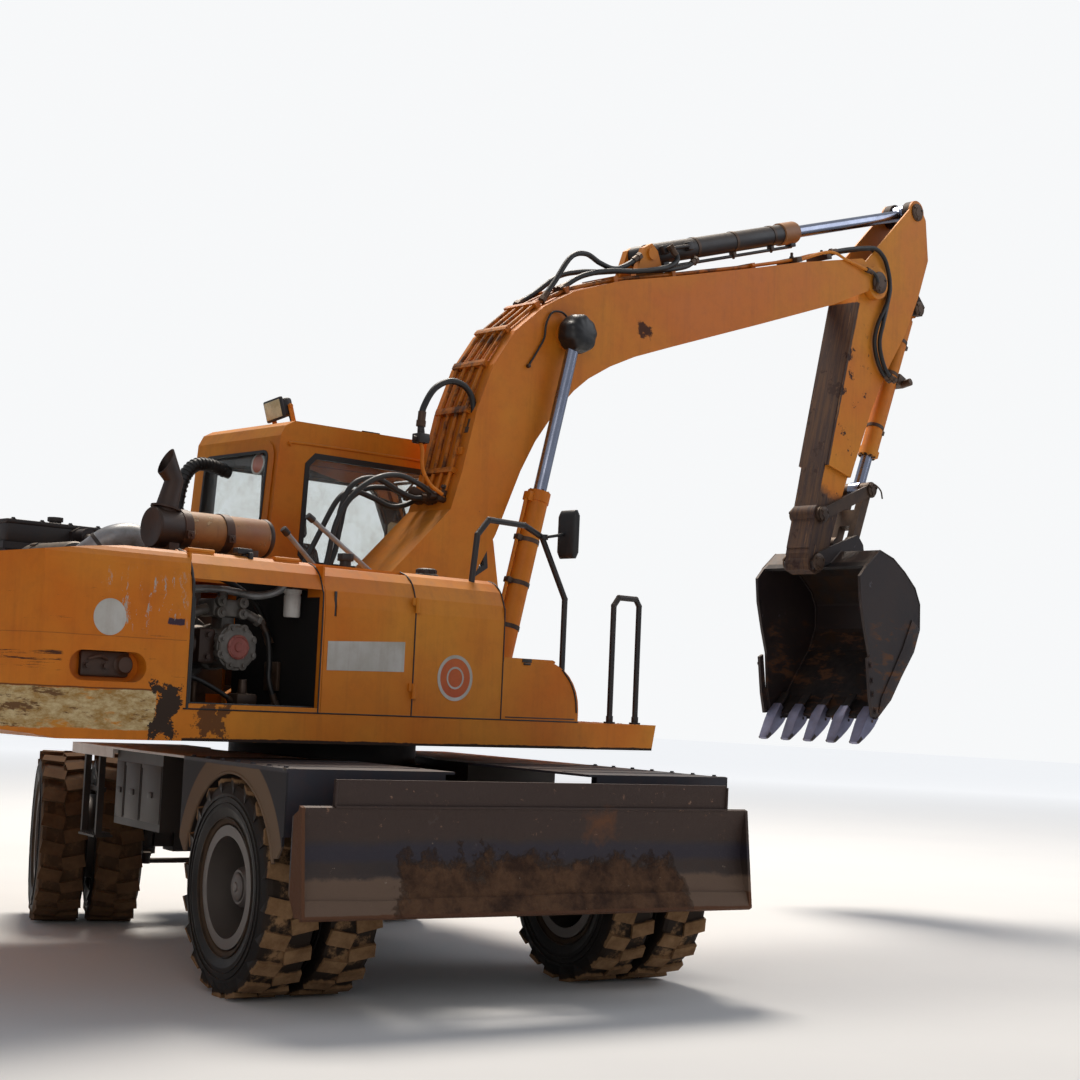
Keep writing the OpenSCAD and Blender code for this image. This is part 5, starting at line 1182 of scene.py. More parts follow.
class EXCAVATOR_OT_side_panels(bpy.types.Operator):
    """Rubber edges, patches, handles and the fitting in the tail weight's recess"""

    bl_idname = "excavator.side_panels"
    bl_label = "Side panels"

    def execute(self, context):
        seals = Shape()
        for x, inward in ((-1.728, 0.004), (-0.9615, 0.001), (0.2765, 0.001), (-0.3565, 0.0006)):
            seals.tube([(x, y - 0.001 + inward, z) for y, z in SIDE_FACE], 0.0085 if x < -1 else 0.004, 8, steps=4)
        seals.tube([(-1.75, RIGHT_FACE, 1.3475), (0.87, RIGHT_FACE, 1.3475)], 0.004, 6)
        seals.piece("panel_seals", "rubber", "upper")
        # Sheet band, round patch and pale disc where the paint was lettered
        patch = Shape()
        patch.plate(
            side_points([(-0.92, 1.566), (-0.42, 1.578), (-0.42, 1.735), (-0.92, 1.713)], -1.2376), (0, -0.0015, 0)
        )
        patch.piece("reflective_band", "pale_patch", "right_door")
        disc = Shape()
        for r0, r1, slot, lift in ((0.123, 0.105, 0, 0.002), (0.105, 0.0, 1, 0.0015)):
            disc.slot = slot
            place = frame_of((-0.065, RIGHT_FACE, 1.561), (0, -1, 0))
            disc.lathe([(r1, 0.0), (r0, 0.0), (r0, lift), (r1, lift), (r1, 0.0)], place, 48)
        disc.slot = 0
        disc.lathe([(0.05, 0.0), (0.06, 0.0), (0.06, 0.0028), (0.05, 0.0028), (0.05, 0.0)], place, 48)
        disc.piece("tank_disc", "pale_patch disc_orange", "upper")
        disc = Shape()
        disc.lathe(
            [(0, 0), (0.085, 0), (0.085, 0.0015), (0, 0.0015)], frame_of((-2.168, RIGHT_FACE, 1.757), (0, -1, 0)), 40
        )
        disc.piece("tail_disc", "pale_patch", "upper")
        self.recess_fittings()
        self.handles()
        self.roof_plates()
        return {"FINISHED"}

    def recess_fittings(self):
        shape = Shape()
        for s in (-1, 1):
            face = s * 1.1575
            shape.box((-2.275, face, 1.48), (-2.02, face + s * 0.03, 1.6), 0.014)
            place = frame_of((-2.055, face + s * 0.02, 1.54), (0, s, 0))
            profile = [(0, 0.0), (0.05, 0.0), (0.05, 0.012), (0.04, 0.02), (0.036, 0.032), (0.012, 0.036), (0, 0.036)]
            shape.lathe(profile, place, 32)
            for x in (-2.245, -2.15):
                shape.bolt((x, face + s * 0.03, 1.53), (0, s, 0), 0.014, 0.014)
            shape.tube(
                [(-2.24, face + s * 0.034, 1.56), (-2.19, face + s * 0.05, 1.575), (-2.14, face + s * 0.034, 1.56)],
                0.007,
                8,
                steps=8,
            )
        shape.piece("recess_fittings", "burnt_steel", "upper")

    def handles(self):
        shape = Shape()
        # Recessed pull in the side door's slot, the lid's catch and hasp, and the trim of the tool box
        shape.box((-0.8905, -1.234, 1.842), (-0.8745, -1.231, 1.968), 0.001)
        shape.piece("door_pull", "black_paint", "right_door")
        lid = Shape()
        lid.box((0.42, -1.2415, 1.668), (0.49, RIGHT_FACE, 1.6885), 0.0015)
        lid.bar((0.43, -1.2395, 1.66), (0.48, -1.2395, 1.66), 0.006, sides=12)
        lid.piece("lid_catch", "black_paint", "toolbox_lid")
        box = Shape()
        box.box((0.31, -1.2405, 1.36), (0.84, RIGHT_FACE, 1.366), 0.001)
        box.tube(
            [(0.73, -1.239, 1.64), (0.8, -1.239, 1.57), (0.84, -1.239, 1.49), (0.855, -1.239, 1.4)], 0.005, steps=4
        )
        box.piece("toolbox_trim", "black_paint", "upper")

    def roof_plates(self):
        roof = Shape()
        # Hinge brackets, breather, prop rods and cap on the right housing
        for x in (-1.69, -1.18):
            roof.box((x, -1.1, 2.105), (x + 0.14, -1.0, 2.117), 0.003)
            roof.box((x, -1.115, 2.06), (x + 0.14, -1.1, 2.112), 0.003)
            roof.bar((x - 0.005, -1.108, 2.114), (x + 0.145, -1.108, 2.114), 0.011)
            for dx in (0.03, 0.11):
                roof.bolt((x + dx, -1.05, 2.117), (0, 0, 1), 0.011, 0.01)
                roof.bolt((x + dx, -1.115, 2.082), (0, -1, 0), 0.009, 0.01)
        roof.piece("roof_hinges", "orange", "upper")
        shape = Shape()
        shape.bar((-1.35, -1.075, 2.125), (-1.33, -1.095, 2.06), 0.012)
        shape.box((-1.4, -1.1, 2.12), (-1.31, -1.05, 2.15), 0.006)
        shape.box((-1.345, -1.125, 2.01), (-1.32, -1.1, 2.13), 0.006)
        for y in (-0.75, -0.62):
            shape.bar((-0.47, y, 2.105), (-0.47, y, 2.125), 0.05, 0.045, sides=24)
        shape.bar((-0.47, -0.75, 2.125), (-0.47, -0.75, 2.2), 0.032, 0.03, sides=20)
        shape.bar((-0.47, -0.75, 2.17), (-0.47, -0.75, 2.21), 0.045, sides=6)
        shape.piece("housing_catches", "black_paint", "upper")
        props = Shape()
        for low, high in (((-0.5, -0.55, 2.118), (-0.74, -0.55, 2.32)), ((-0.16, -0.62, 2.118), (-0.63, -0.62, 2.4))):
            props.slot = 0
            props.bar(low, high, 0.014, sides=16)
            props.slot = 1
            way = (Vector(high) - Vector(low)).normalized()
            props.bar(Vector(high) - way * 0.03, Vector(high) + way * 0.015, 0.02, sides=12)
            props.box(Vector(low) - Vector((0.03, 0.02, 0.01)), Vector(low) + Vector((0.03, 0.02, 0.012)), 0.004)
        props.piece("prop_rods", "grey_tube black_paint", "upper")
        cap = Shape()
        place = frame_of((0.02, -0.85, 2.11), (0, 0, 1))
        profile = [(0, 0.0), (0.07, 0.0), (0.07, 0.02), (0.055, 0.03), (0.055, 0.05), (0.048, 0.056), (0, 0.058)]
        cap.lathe(profile, place, 32)
        for x, y in around(10, 0.055):
            cap.bar((0.02 + x, -0.85 + y, 2.14), (0.02 + x, -0.85 + y, 2.16), 0.005, sides=8)
        cap.piece("tank_cap", "black_paint", "upper")


class EXCAVATOR_OT_engine_bay(bpy.types.Operator):
    """Bolts, filter, hoses and fittings round the pump, engine and silencer"""

    bl_idname = "excavator.engine_bay"
    bl_label = "Engine bay"

    def execute(self, context):
        self.pump()
        self.bay_hoses()
        self.muffler()
        self.air_intake()
        self.cooler_details()
        self.control_valve()
        return {"FINISHED"}

    def pump(self):
        """Twin pump on the engine's end, with its regulator above; stands for the CAD's shorter one."""
        x, z, y = -1.3, 1.66, -0.985
        body = Shape()
        place = frame_of((x, -0.33, z), (0, -1, 0))
        profile = [(0, 0.0), (0.17, 0.0), (0.17, 0.17), (0.16, 0.19), (0.115, 0.2), (0.112, 0.3), (0.105, 0.31)]
        profile += [
            (0.105, 0.42), (0.118, 0.43), (0.118, 0.46), (0.104, 0.47), (0.104, 0.63), (0.116, 0.635), (0.116, 0.655),
            (0, 0.655),
        ]
        body.lathe(profile, place, 48)
        for (bolt_x, bolt_z), (bar_x, bar_z) in zip(around(10, 0.15), around(10, 0.106)):
            body.bolt((x + bolt_x, -0.52, z + bolt_z), (0, -1, 0), 0.011, 0.012)
            body.bar((x + bar_x, -0.81, z + bar_z), (x + bar_x, -0.96, z + bar_z), 0.007, sides=8)
        # Eight lobes with their bolts round the end cover
        for dx, dz in around(8, 0.098, 0.5):
            spot = Vector((x + dx, y, z + dz))
            body.bar(spot + Vector((0, 0.035, 0)), spot - Vector((0, 0.012, 0)), 0.025, sides=20, bevel=0.003)
            body.bolt(spot - Vector((0, 0.012, 0)), (0, -1, 0), 0.011, 0.012)
        body.lathe(
            [(0.06, 0), (0.106, 0), (0.106, 0.008), (0.1, 0.014), (0.06, 0.014), (0.06, 0)],
            frame_of((x, y, z), (0, -1, 0)),
            48,
        )
        # Regulator: a lobed block with its adjusting screws and ports
        body.box((x - 0.12, y + 0.04, z + 0.15), (x + 0.08, y + 0.2, z + 0.24), 0.016)
        body.box((x - 0.05, y + 0.07, z + 0.08), (x + 0.03, y + 0.17, z + 0.17), 0.012)
        for dx, dz in ((-0.085, 0.17), (0.045, 0.17), (-0.085, 0.225), (0.045, 0.225)):
            body.bar((x + dx, y + 0.05, z + dz), (x + dx, y + 0.015, z + dz), 0.028, sides=20, bevel=0.004)
            body.bolt((x + dx, y + 0.015, z + dz), (0, -1, 0), 0.012, 0.014)
        body.bar((x + 0.08, y + 0.1, z + 0.19), (x + 0.17, y + 0.09, z + 0.15), 0.024, sides=16)
        body.bar((x + 0.17, y + 0.09, z + 0.15), (x + 0.19, y + 0.088, z + 0.141), 0.032, sides=6)
        body.bar((x - 0.12, y + 0.1, z + 0.19), (x - 0.27, y + 0.12, z + 0.14), 0.026, sides=16)
        body.bar((x - 0.02, y + 0.12, z + 0.24), (x - 0.02, y + 0.12, z + 0.28), 0.03, 0.024, sides=6)
        body.slot = 1
        body.lathe(
            [
                (0, 0.0), (0.062, 0.0), (0.062, 0.009), (0.052, 0.014), (0.048, 0.01), (0.026, 0.01), (0.022, 0.016),
                (0, 0.016),
            ],
            frame_of((x, y - 0.012, z), (0, -1, 0)),
            40,
        )
        for dx, dz in around(6, 0.055):
            body.bolt((x + dx, y - 0.022, z + dz), (0, -1, 0), 0.006, 0.006)
        # Suction casting and its flanged pipe on the left of the pump
        body.slot = 2
        body.box((x - 0.2, y + 0.03, z - 0.09), (x - 0.1, y + 0.17, z + 0.09), 0.02)
        body.bar((x - 0.2, y + 0.1, z), (x - 0.32, y + 0.12, z + 0.01), 0.06, sides=24)
        for dz in (-0.055, 0.055):
            body.bolt((x - 0.15, y + 0.03, z + dz), (0, -1, 0), 0.014, 0.014)
        obj = body.piece("pump_assembly", "pump red_primer burnt_steel", "upper")
        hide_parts("pump")
        canister = Shape()
        place = frame_of((-1.02, -1.05, 1.835), (0, 0, 1))
        profile = [
            (0, -0.01), (0.038, -0.008), (0.043, 0.0), (0.043, 0.1), (0.04, 0.105), (0.04, 0.112), (0.046, 0.116)
        ]
        canister.lathe(profile + [(0.046, 0.135), (0, 0.135)], place, 40)
        canister.slot = 1
        canister.box((-1.06, -1.1, 1.968), (-0.959, -1.0, 1.982), 0.003)
        canister.piece("filter_can", "pale_patch burnt_steel", "upper")

    def bay_hoses(self):
        shape = Shape()
        lines = (
            [(-1.1, -0.9, 1.8), (-1.06, -0.91, 1.72), (-1.05, -0.92, 1.6), (-1.06, -0.94, 1.5), (-1.02, -0.95, 1.38)],
            [(-1.52, -0.66, 1.75), (-1.62, -0.68, 1.66), (-1.66, -0.7, 1.5), (-1.64, -0.72, 1.37)],
            [(-1.66, -0.9, 1.52), (-1.52, -0.94, 1.5), (-1.38, -0.96, 1.44), (-1.28, -0.97, 1.38)],
            [(-1.66, -0.6, 2.0), (-1.45, -0.62, 2.04), (-1.2, -0.66, 2.02), (-1.02, -0.72, 1.9), (-0.975, -0.8, 1.7)],
        )
        for line, r in zip(lines, (0.014, 0.018, 0.012, 0.016)):
            shape.hose(line, r)
        shape.piece("bay_hoses", "rubber greasy_steel", "upper")
        shape = Shape()
        line = [
            (-1.042, -1.055, 2.07), (-1.05, -1.04, 2.0), (-1.09, -0.99, 1.95), (-1.17, -0.92, 1.93),
            (-1.32, -0.86, 1.95), (-1.5, -0.8, 1.94), (-1.66, -0.74, 1.9),
        ]
        shape.hose(line, 0.021)
        shape.piece("case_drain_hose", "grey_tube greasy_steel", "upper")
        shape = Shape()
        shape.box((-1.66, -1.0, 1.373), (-1.6, -0.8, 1.5), 0.006)
        shape.box((-1.3, -1.02, 1.373), (-1.18, -0.92, 1.43), 0.01)
        shape.bar((-1.24, -0.97, 1.43), (-1.24, -0.97, 1.5), 0.025, 0.02)
        shape.box((-0.985, -0.9, 1.45), (-0.962, -0.78, 1.6), 0.005)
        for x in (-1.6, -1.56, -1.52, -1.48):
            shape.bar((x, -0.9, 1.373), (x, -0.9, 1.47), 0.012, sides=12)
            shape.bar((x, -0.9, 1.46), (x, -0.9, 1.48), 0.017, sides=6)
        shape.piece("bay_fittings", "greasy_steel", "upper")
        seal = Shape()
        seal.tube([(-1.72, RIGHT_FACE, 1.373), (-1.72, RIGHT_FACE, 1.88)], 0.007, 8)
        seal.tube([(-1.72, -1.2, 1.3745), (-0.96, -1.2, 1.3745)], 0.006, 8)
        seal.piece("bay_seals", "rubber", "upper")

    def muffler(self):
        """Silencer on its two saddles, with the leaning stack; stands for the CAD's plainer one."""
        y, z = -0.7, 2.245
        shape = Shape()
        axis = frame_of((-1.66, y, z), (1, 0, 0))
        shape.lathe([(0.0, 0.03), (0.1, 0.03), (0.1, 0.664), (0.094, 0.676), (0.085, 0.68), (0.0, 0.674)], axis, 56)
        shape.slot = 2
        # Scorched front section, rolled ends, two straps and their saddles
        shape.lathe(
            [
                (0.0, 0.01), (0.05, 0.008), (0.086, 0.0), (0.1, 0.0), (0.1045, 0.006), (0.1045, 0.014), (0.102, 0.02),
                (0.102, 0.17), (0.0995, 0.176),
            ],
            axis,
            56,
        )
        shape.lathe([(0.0995, 0.662), (0.1035, 0.668), (0.1035, 0.68), (0.099, 0.69), (0.088, 0.686)], axis, 56)
        shape.slot = 1
        for x in (-1.493, -1.246):
            shape.lathe(
                [(0.1, -0.026), (0.105, -0.024), (0.105, 0.024), (0.1, 0.026)], frame_of((x, y, z), (1, 0, 0)), 56
            )
            shape.box((x - 0.02, y - 0.118, z - 0.05), (x + 0.02, y - 0.096, z - 0.01), 0.003)
            shape.bolt((x, y - 0.118, z - 0.03), (0, -1, 0), 0.01, 0.014)
        for x in (-1.56, -1.08):
            shape.box((x - 0.03, y - 0.07, 2.11), (x + 0.03, y + 0.07, z - 0.07), 0.004)
            shape.box((x - 0.03, y - 0.1, 2.11), (x + 0.03, y + 0.1, 2.118), 0.002)
        # Stack: rises leaning back, kinks and ends in a slanted mouth
        rings = (
            ((-1.578, 2.325), (0.2, 1), 0.063, 1),
            ((-1.574, 2.36), (0.22, 1), 0.056, 1),
            ((-1.543, 2.49), (-0.1, 1), 0.048, 1.03),
            ((-1.596, 2.585), (-1, 0.5), 0.05, 1.5),
            ((-1.598, 2.586), (-1, 0.5), 0.046, 1.5),
            ((-1.545, 2.49), (-0.1, 1), 0.044, 1.0),
        )
        shape.slot = 2
        loops = []
        for (x, level), (wx, wz), r, stretch in rings:
            up = Vector((wx, 0, wz)).normalized().cross((0, 1, 0)) * stretch
            angles = [math.pi * k / 16 for k in range(32)]
            ring = [Vector((x, y, level)) + r * (Vector((0, math.cos(a), 0)) + up * math.sin(a)) for a in angles]
            loops.append([shape.mesh.verts.new(p) for p in ring])
        shape.skin(loops, caps=False)
        shape.lathe(
            [(0.056, 0.01), (0.08, 0.006), (0.08, -0.004), (0.06, -0.006)],
            frame_of((-1.578, y, 2.345), (0.2, 0, 1)),
            32,
        )
        obj = shape.piece("silencer", "muffler burnt_steel scorched", "upper")
        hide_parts("muffler")

    def air_intake(self):
        duct = Shape()
        line = [
            (-0.53, 0.86, 2.09), (-0.545, 0.865, 2.3), (-0.54, 0.87, 2.55), (-0.5, 0.88, 2.72), (-0.42, 0.885, 2.81),
            (-0.3, 0.89, 2.82), (-0.17, 0.89, 2.79),
        ]
        path = smooth_path(line, 10)
        duct.tube(path, 0.038, 20)
        for k in range(3, len(path) - 3, 2):
            way = (path[k + 1] - path[k - 1]).normalized()
            duct.lathe([(0.037, -0.005), (0.043, -0.003), (0.043, 0.003), (0.037, 0.005)], frame_of(path[k], way), 20)
        duct.piece("cab_air_duct", "rubber", "upper")
        # Air cleaner across the machine and its fat elbow to the engine
        cleaner = Shape()
        place = frame_of((-1.62, 0.58, 2.085), (0, -1, 0))
        profile = [
            (0, 0.0), (0.05, 0.004), (0.06, 0.016), (0.105, 0.018), (0.118, 0.026), (0.118, 0.1), (0.122, 0.102),
            (0.122, 0.118),
        ]
        profile += [(0.118, 0.12), (0.118, 0.46), (0.11, 0.475), (0.08, 0.48), (0.076, 0.5), (0, 0.5)]
        cleaner.lathe(profile, place, 48)
        for k in range(4):
            cleaner.box(
                (0.112, -0.012, 0.08),
                (0.128, 0.012, 0.14),
                0.003,
                place @ Matrix.Rotation(math.pi * k / 2 + 0.5, 4, "Z"),
            )
        for y in (0.16, 0.46):
            cleaner.box((-1.69, y, 1.85), (-1.5, y + 0.02, 2.01), 0.004)
        cleaner.slot = 1
        line = [
            (-1.62, 0.1, 2.085), (-1.6, -0.01, 2.14), (-1.52, -0.07, 2.215), (-1.4, -0.09, 2.235), (-1.29, -0.09, 2.17),
            (-1.255, -0.09, 2.05), (-1.25, -0.09, 1.9),
        ]
        path = smooth_path(line, 8)
        cleaner.tube(path, 0.074, 32)
        cleaner.slot = 2
        for k in (2, 12, 34, 44):
            cleaner.lathe(
                [(0.073, -0.011), (0.079, -0.009), (0.079, 0.009), (0.073, 0.011)],
                frame_of(path[k], path[k + 1] - path[k]),
                32,
            )
        obj = cleaner.piece("intake", "engine grey_tube black_paint", "upper")
        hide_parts("air_cleaner")

    def cooler_details(self):
        shape = Shape()
        # Fins on both faces of the coolers, seen through the louvres and from the engine
        for y in (0.878, 1.032):
            for k in range(60):
                x = -1.62 + k * 0.013
                shape.box((x, y - 0.002, 1.4), (x + 0.002, y + 0.002, 2.15), 0)
            for z in (1.38, 1.62, 1.88, 2.16):
                shape.box((-1.638, y - 0.004, z - 0.012), (-0.842, y + 0.004, z + 0.012), 0.002)
        # Top tank with its pressed edge and filler cap, and the wide hose to the engine
        shape.box((-1.64, 0.875, 2.226), (-0.84, 1.035, 2.35), 0.02)
        shape.box((-1.645, 0.87, 2.335), (-0.835, 1.04, 2.36), 0.006)
        for x in (-1.6, -1.42, -1.24, -1.06, -0.88):
            shape.bolt((x, 0.885, 2.36), (0, 0, 1), 0.011, 0.01)
        shape.bar((-1.3, 0.955, 2.35), (-1.3, 0.955, 2.385), 0.035, sides=24)
        shape.bar((-1.3, 0.955, 2.375), (-1.3, 0.955, 2.4), 0.046, sides=10)
        shape.hose(
            [(-1.2, 0.88, 2.29), (-1.2, 0.8, 2.29), (-1.2, 0.7, 2.25), (-1.2, 0.6, 2.14), (-1.2, 0.5, 2.0)], 0.036
        )
        shape.piece("cooler_fins", "black_paint", "upper")

    def control_valve(self):
        shape = Shape()
        for k in range(7):
            x = -0.62 + k * 0.062
            shape.box((x, -0.2, 1.47), (x + 0.058, 0.13, 1.68), 0.006)
            for y in (-0.2, 0.13):
                shape.bar((x + 0.029, y, 1.6), (x + 0.029, y + math.copysign(0.05, y), 1.6), 0.022, sides=16)
            shape.bar((x + 0.029, -0.035, 1.68), (x + 0.029, -0.035, 1.72), 0.02, sides=6)
        shape.box((-0.64, -0.18, 1.2155), (-0.16, 0.11, 1.47), 0.012)
        shape.piece("control_valve", "greasy_steel", "upper")


# Cab and walkway

CAB_Y = (0.335, LEFT_FACE)
# The rear wall's face at the window's sill, and how far it leans forward for each metre up
REAR_FACE, REAR_LEAN = -0.2285, 0.067
SIDE_WINDOW = [
    (0, 2.28), (0.06, 2.225), (1.33, 2.225), (1.5, 2.33), (1.48, 2.48), (1.29, 2.86), (1.23, 2.89), (0.08, 2.89),
    (0.02, 2.83),
]
DOOR_WINDOW = [
    (0.5, 2.03), (1.5, 2.03), (1.49, 2.11), (1.42, 2.46), (1.24, 2.84), (1.19, 2.88), (0.53, 2.88), (0.5, 2.85)
]
REAR_QUARTER = [(-0.09, 2.28), (0.33, 2.28), (0.33, 2.87), (-0.03, 2.87), (-0.06, 2.84)]


class EXCAVATOR_OT_cab(bpy.types.Operator):
    """Rubber round the windows, seat, mirrors, lamp, hatch, wiper and handles of the cab"""

    bl_idname = "excavator.cab"
    bl_label = "Cab fittings"

    def execute(self, context):
        self.gaskets()
        self.roof()
        self.seat()
        self.mirrors()
        self.lamp()
        self.outside()
        return {"FINISHED"}

    def gasket(self, shape, outline, y, out):
        """Rubber on the edge of a side window: a lip on the wall's face and a wall inside the hole."""
        near, far = -0.0005, -0.018
        inside = [side_points(grown(outline, by), y - out * 0.026) for by in (near, far)]
        shape.band(*inside, (0, out * 0.026, 0))
        face = [side_points(grown(outline, by), y) for by in (0.016, far)]
        shape.band(*face, (0, out * 0.004, 0))

    def on_rear_wall(self, outline, by, x):
        """A closed line of [y, z] points, moved out by a distance, at an x that leans with the rear wall."""
        return [Vector((x + (z - 2.42) * REAR_LEAN, y, z)) for y, z in grown(outline, by)]

    def gaskets(self):
        shape = Shape()
        self.gasket(shape, SIDE_WINDOW, CAB_Y[0], -1)
        self.gasket(shape, REAR_QUARTER, CAB_Y[1], 1)
        # Rear window in the sloped rear wall
        rear = [
            (0.45, 2.43), (1.0975, 2.43), (1.1275, 2.46), (1.1275, 2.88), (1.0975, 2.91), (0.45, 2.91), (0.42, 2.88),
            (0.42, 2.46),
        ]
        for outer, inner, x0, x1 in ((0.018, -0.018, -0.2235, REAR_FACE), (-0.0005, -0.018, -0.2, -0.2235)):
            shape.band(*(self.on_rear_wall(rear, by, x0) for by in (outer, inner)), (x1 - x0, 0, 0))
        # Painted surround of the rear window, rounded at the glass
        rounded = []
        for cy, cz, start in ((1.0675, 2.49, -90), (1.0675, 2.85, 0), (0.48, 2.85, 90), (0.48, 2.49, 180)):
            for k in range(5):
                a = math.radians(start + 22.5 * k)
                rounded.append((cy + 0.06 * math.cos(a), cz + 0.06 * math.sin(a)))
        for mark, outer, inner, out in ((1, 0.05, -0.012, 0.004), (0, -0.008, -0.026, 0.008)):
            shape.slot = mark
            shape.band(*(self.on_rear_wall(rounded, by, REAR_FACE) for by in (outer, inner)), (-out, 0, 0))
        shape.slot = 0
        # Windscreen: its edge follows the bend of the cab's front
        front = [(1.66, 2.06), (1.56, 2.5), (1.366, 2.91)]
        for y in (0.41, 1.1625):
            shape.tube([Vector((x + 0.001, y, z)) for x, z in front], 0.011, 8)
        for x, z in (front[0], front[2]):
            shape.tube([(x, 0.41, z), (x, 1.1625, z)], 0.011, 8)
        shape.piece("cab_window_seals", "rubber cab_orange", "upper")
        shape = Shape()
        self.gasket(shape, DOOR_WINDOW, CAB_Y[1], 1)
        shape.piece("door_window_seal", "rubber", "cab_door")

    def roof(self):
        shape = Shape()
        # Hatch with its rolled edge, rain strips over the side windows
        hatch = [
            (0.28, 0.52), (0.95, 0.52), (0.99, 0.56), (0.99, 1.02), (0.95, 1.06), (0.28, 1.06), (0.24, 1.02),
            (0.24, 0.56),
        ]
        top = 3.0895
        shape.plate([Vector((x, y, top)) for x, y in hatch], (0, 0, 0.018), 0.006)
        for y, out in ((CAB_Y[0], -1), (CAB_Y[1], 1)):
            line = [(-0.12, y, 2.93), (0.0, y, 2.955), (1.2, y, 2.955), (1.3, y, 2.9)]
            shape.tube([Vector(p) + Vector((0, out * 0.004, 0)) for p in smooth_path(line, 5)], 0.009, 8)
        for x in (0.32, 0.9):
            shape.bar((x, 1.065, top + 0.004), (x + 0.06, 1.065, top + 0.004), 0.011, sides=12)
        shape.piece("roof_hatch", "orange", "upper")
        shape = Shape()
        shape.bar((0.62, 0.5, top + 0.018), (0.62, 0.5, top + 0.032), 0.02, sides=16)
        shape.box((0.55, 0.493, top + 0.026), (0.69, 0.507, top + 0.034), 0.003)
        # Boom-side wiper of the windscreen with its motor's cap
        shape.bar((1.64, 0.5, 2.13), (1.675, 0.5, 2.138), 0.03, sides=20)
        shape.tube([(1.668, 0.5, 2.14), (1.64, 0.56, 2.3), (1.592, 0.62, 2.5)], 0.008, 8)
        shape.tube([(1.634, 0.63, 2.28), (1.592, 0.62, 2.49), (1.51, 0.61, 2.66)], 0.007, 8)
        shape.piece("cab_black_fittings", "black_paint", "upper")

    def seat(self):
        y, half = 0.78625, 0.2496
        base = Shape()
        base.box((0.33, y - 0.16, 1.41), (0.68, y + 0.16, 1.44), 0.006)
        for k in range(6):
            z, fold = 1.45 + 0.024 * k, k % 2
            low = (0.35 + 0.004 * fold, y - 0.145 - 0.006 * fold, z)
            base.box(low, (0.66 - 0.004 * fold, y + 0.145, z + 0.02), 0.005)
        base.box((0.3, y - 0.2, 1.6), (0.76, y + 0.2, 1.64), 0.008)
        for s in (-1, 1):
            base.tube([(0.34, y + s * 0.21, 1.64), (0.31, y + s * 0.235, 1.7), (0.28, y + s * 0.235, 1.85)], 0.012, 10)
        pan = base.piece("seat_base", "seat_shell", "upper")
        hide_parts("seat")
        for name, corners, thick in (
            ("seat_cushion", [(0.29, 1.645), (0.795, 1.66), (0.79, 1.765), (0.3, 1.762)], half - 0.004),
            ("seat_back", [(0.262, 1.78), (0.392, 1.78), (0.3, 2.39), (0.188, 2.39)], half - 0.016),
            ("seat_head_rest", [(0.196, 2.405), (0.285, 2.405), (0.268, 2.59), (0.196, 2.59)], 0.136),
        ):
            self.cushion(name, corners, y, thick)

    def cushion(self, name, corners, y, half):
        """Crowned pad with a welt round each side and stitched flutes across its face."""
        shape = Shape()
        a, b, c, d = (Vector((x, 0, z)) for x, z in corners)
        middle = (a + b + c + d) / 4
        fluted = name != "seat_back"
        steps, across = 14, 16
        rings = []
        for k in range(across + 1):
            t = k / across
            side = 2 * t - 1
            edge = max(0.0, 1 - abs(side) ** 6)
            ring = []
            for n in range(4 * steps):
                leg, u = divmod(n, steps)
                p, q = ((a, b), (b, c), (c, d), (d, a))[leg]
                point = p.lerp(q, u / steps)
                inward = (middle - point) * (0.16 * (1 - edge))
                corner = min(u, steps - u) / steps
                inward += (middle - point) * 0.1 * max(0, 0.14 - corner) / 0.14
                flute = 0.004 * math.cos(2 * math.pi * 5 * u / steps) * edge if leg in (0, 2) and fluted else 0
                point = point + inward + (point - middle).normalized() * (flute - 0.006)
                ring.append(shape.mesh.verts.new(point + Vector((0, y + side * half, 0))))
            rings.append(ring)
        shape.skin(rings)
        obj = shape.piece(name, "cushion", "upper", smooth=75)

    def mirrors(self):
        shape = Shape()
        shape.tube(
            [(0.64, -1.1384, 2.39), (0.645, -1.165, 2.392), (0.7, -1.19, 2.405), (0.752, -1.2, 2.42)],
            0.009,
            12,
            steps=6,
        )
        shape.bar((0.64, -1.139, 2.375), (0.64, -1.139, 2.405), 0.022, sides=12)
        outline = [
            (-1.29, 2.31), (-1.27, 2.275), (-1.15, 2.275), (-1.13, 2.31), (-1.13, 2.52), (-1.15, 2.555), (-1.27, 2.555),
            (-1.29, 2.52),
        ]
        rings = []
        for x, by in (
            (0.737, -0.03), (0.742, -0.012), (0.756, -0.001), (0.77, -0.001), (0.772, -0.006), (0.766, -0.014)
        ):
            rings.append([shape.mesh.verts.new((x, p, q)) for p, q in grown(outline, by)])
        shape.skin(rings)
        obj = shape.piece("mirror_housing", "plastic", "upper")
        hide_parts("mirrors")
        glass = Shape()
        glass.plate([Vector((0.7655, p, q)) for p, q in grown(outline, -0.013)], (0.0015, 0, 0))
        glass.piece("mirror_pane", "mirror_glass", "upper")
        # Small mirror inside the cab's front right corner, seen through the side window
        shape = Shape()
        outline = [
            (0.735, 2.3), (0.76, 2.28), (0.86, 2.29), (0.885, 2.33), (0.88, 2.53), (0.85, 2.565), (0.765, 2.57),
            (0.735, 2.54),
        ]
        shape.plate(side_points(outline, 0.44), (0, 0.022, 0), 0.006)
        shape.slot = 1
        shape.plate(side_points(grown(outline, -0.012), 0.4385), (0, 0.002, 0))
        shape.slot = 0
        shape.tube([(0.81, 0.455, 2.57), (0.84, 0.44, 2.72), (0.95, 0.42, 2.85)], 0.007, 8)
        shape.piece("cab_inner_mirror", "plastic lens", "upper")

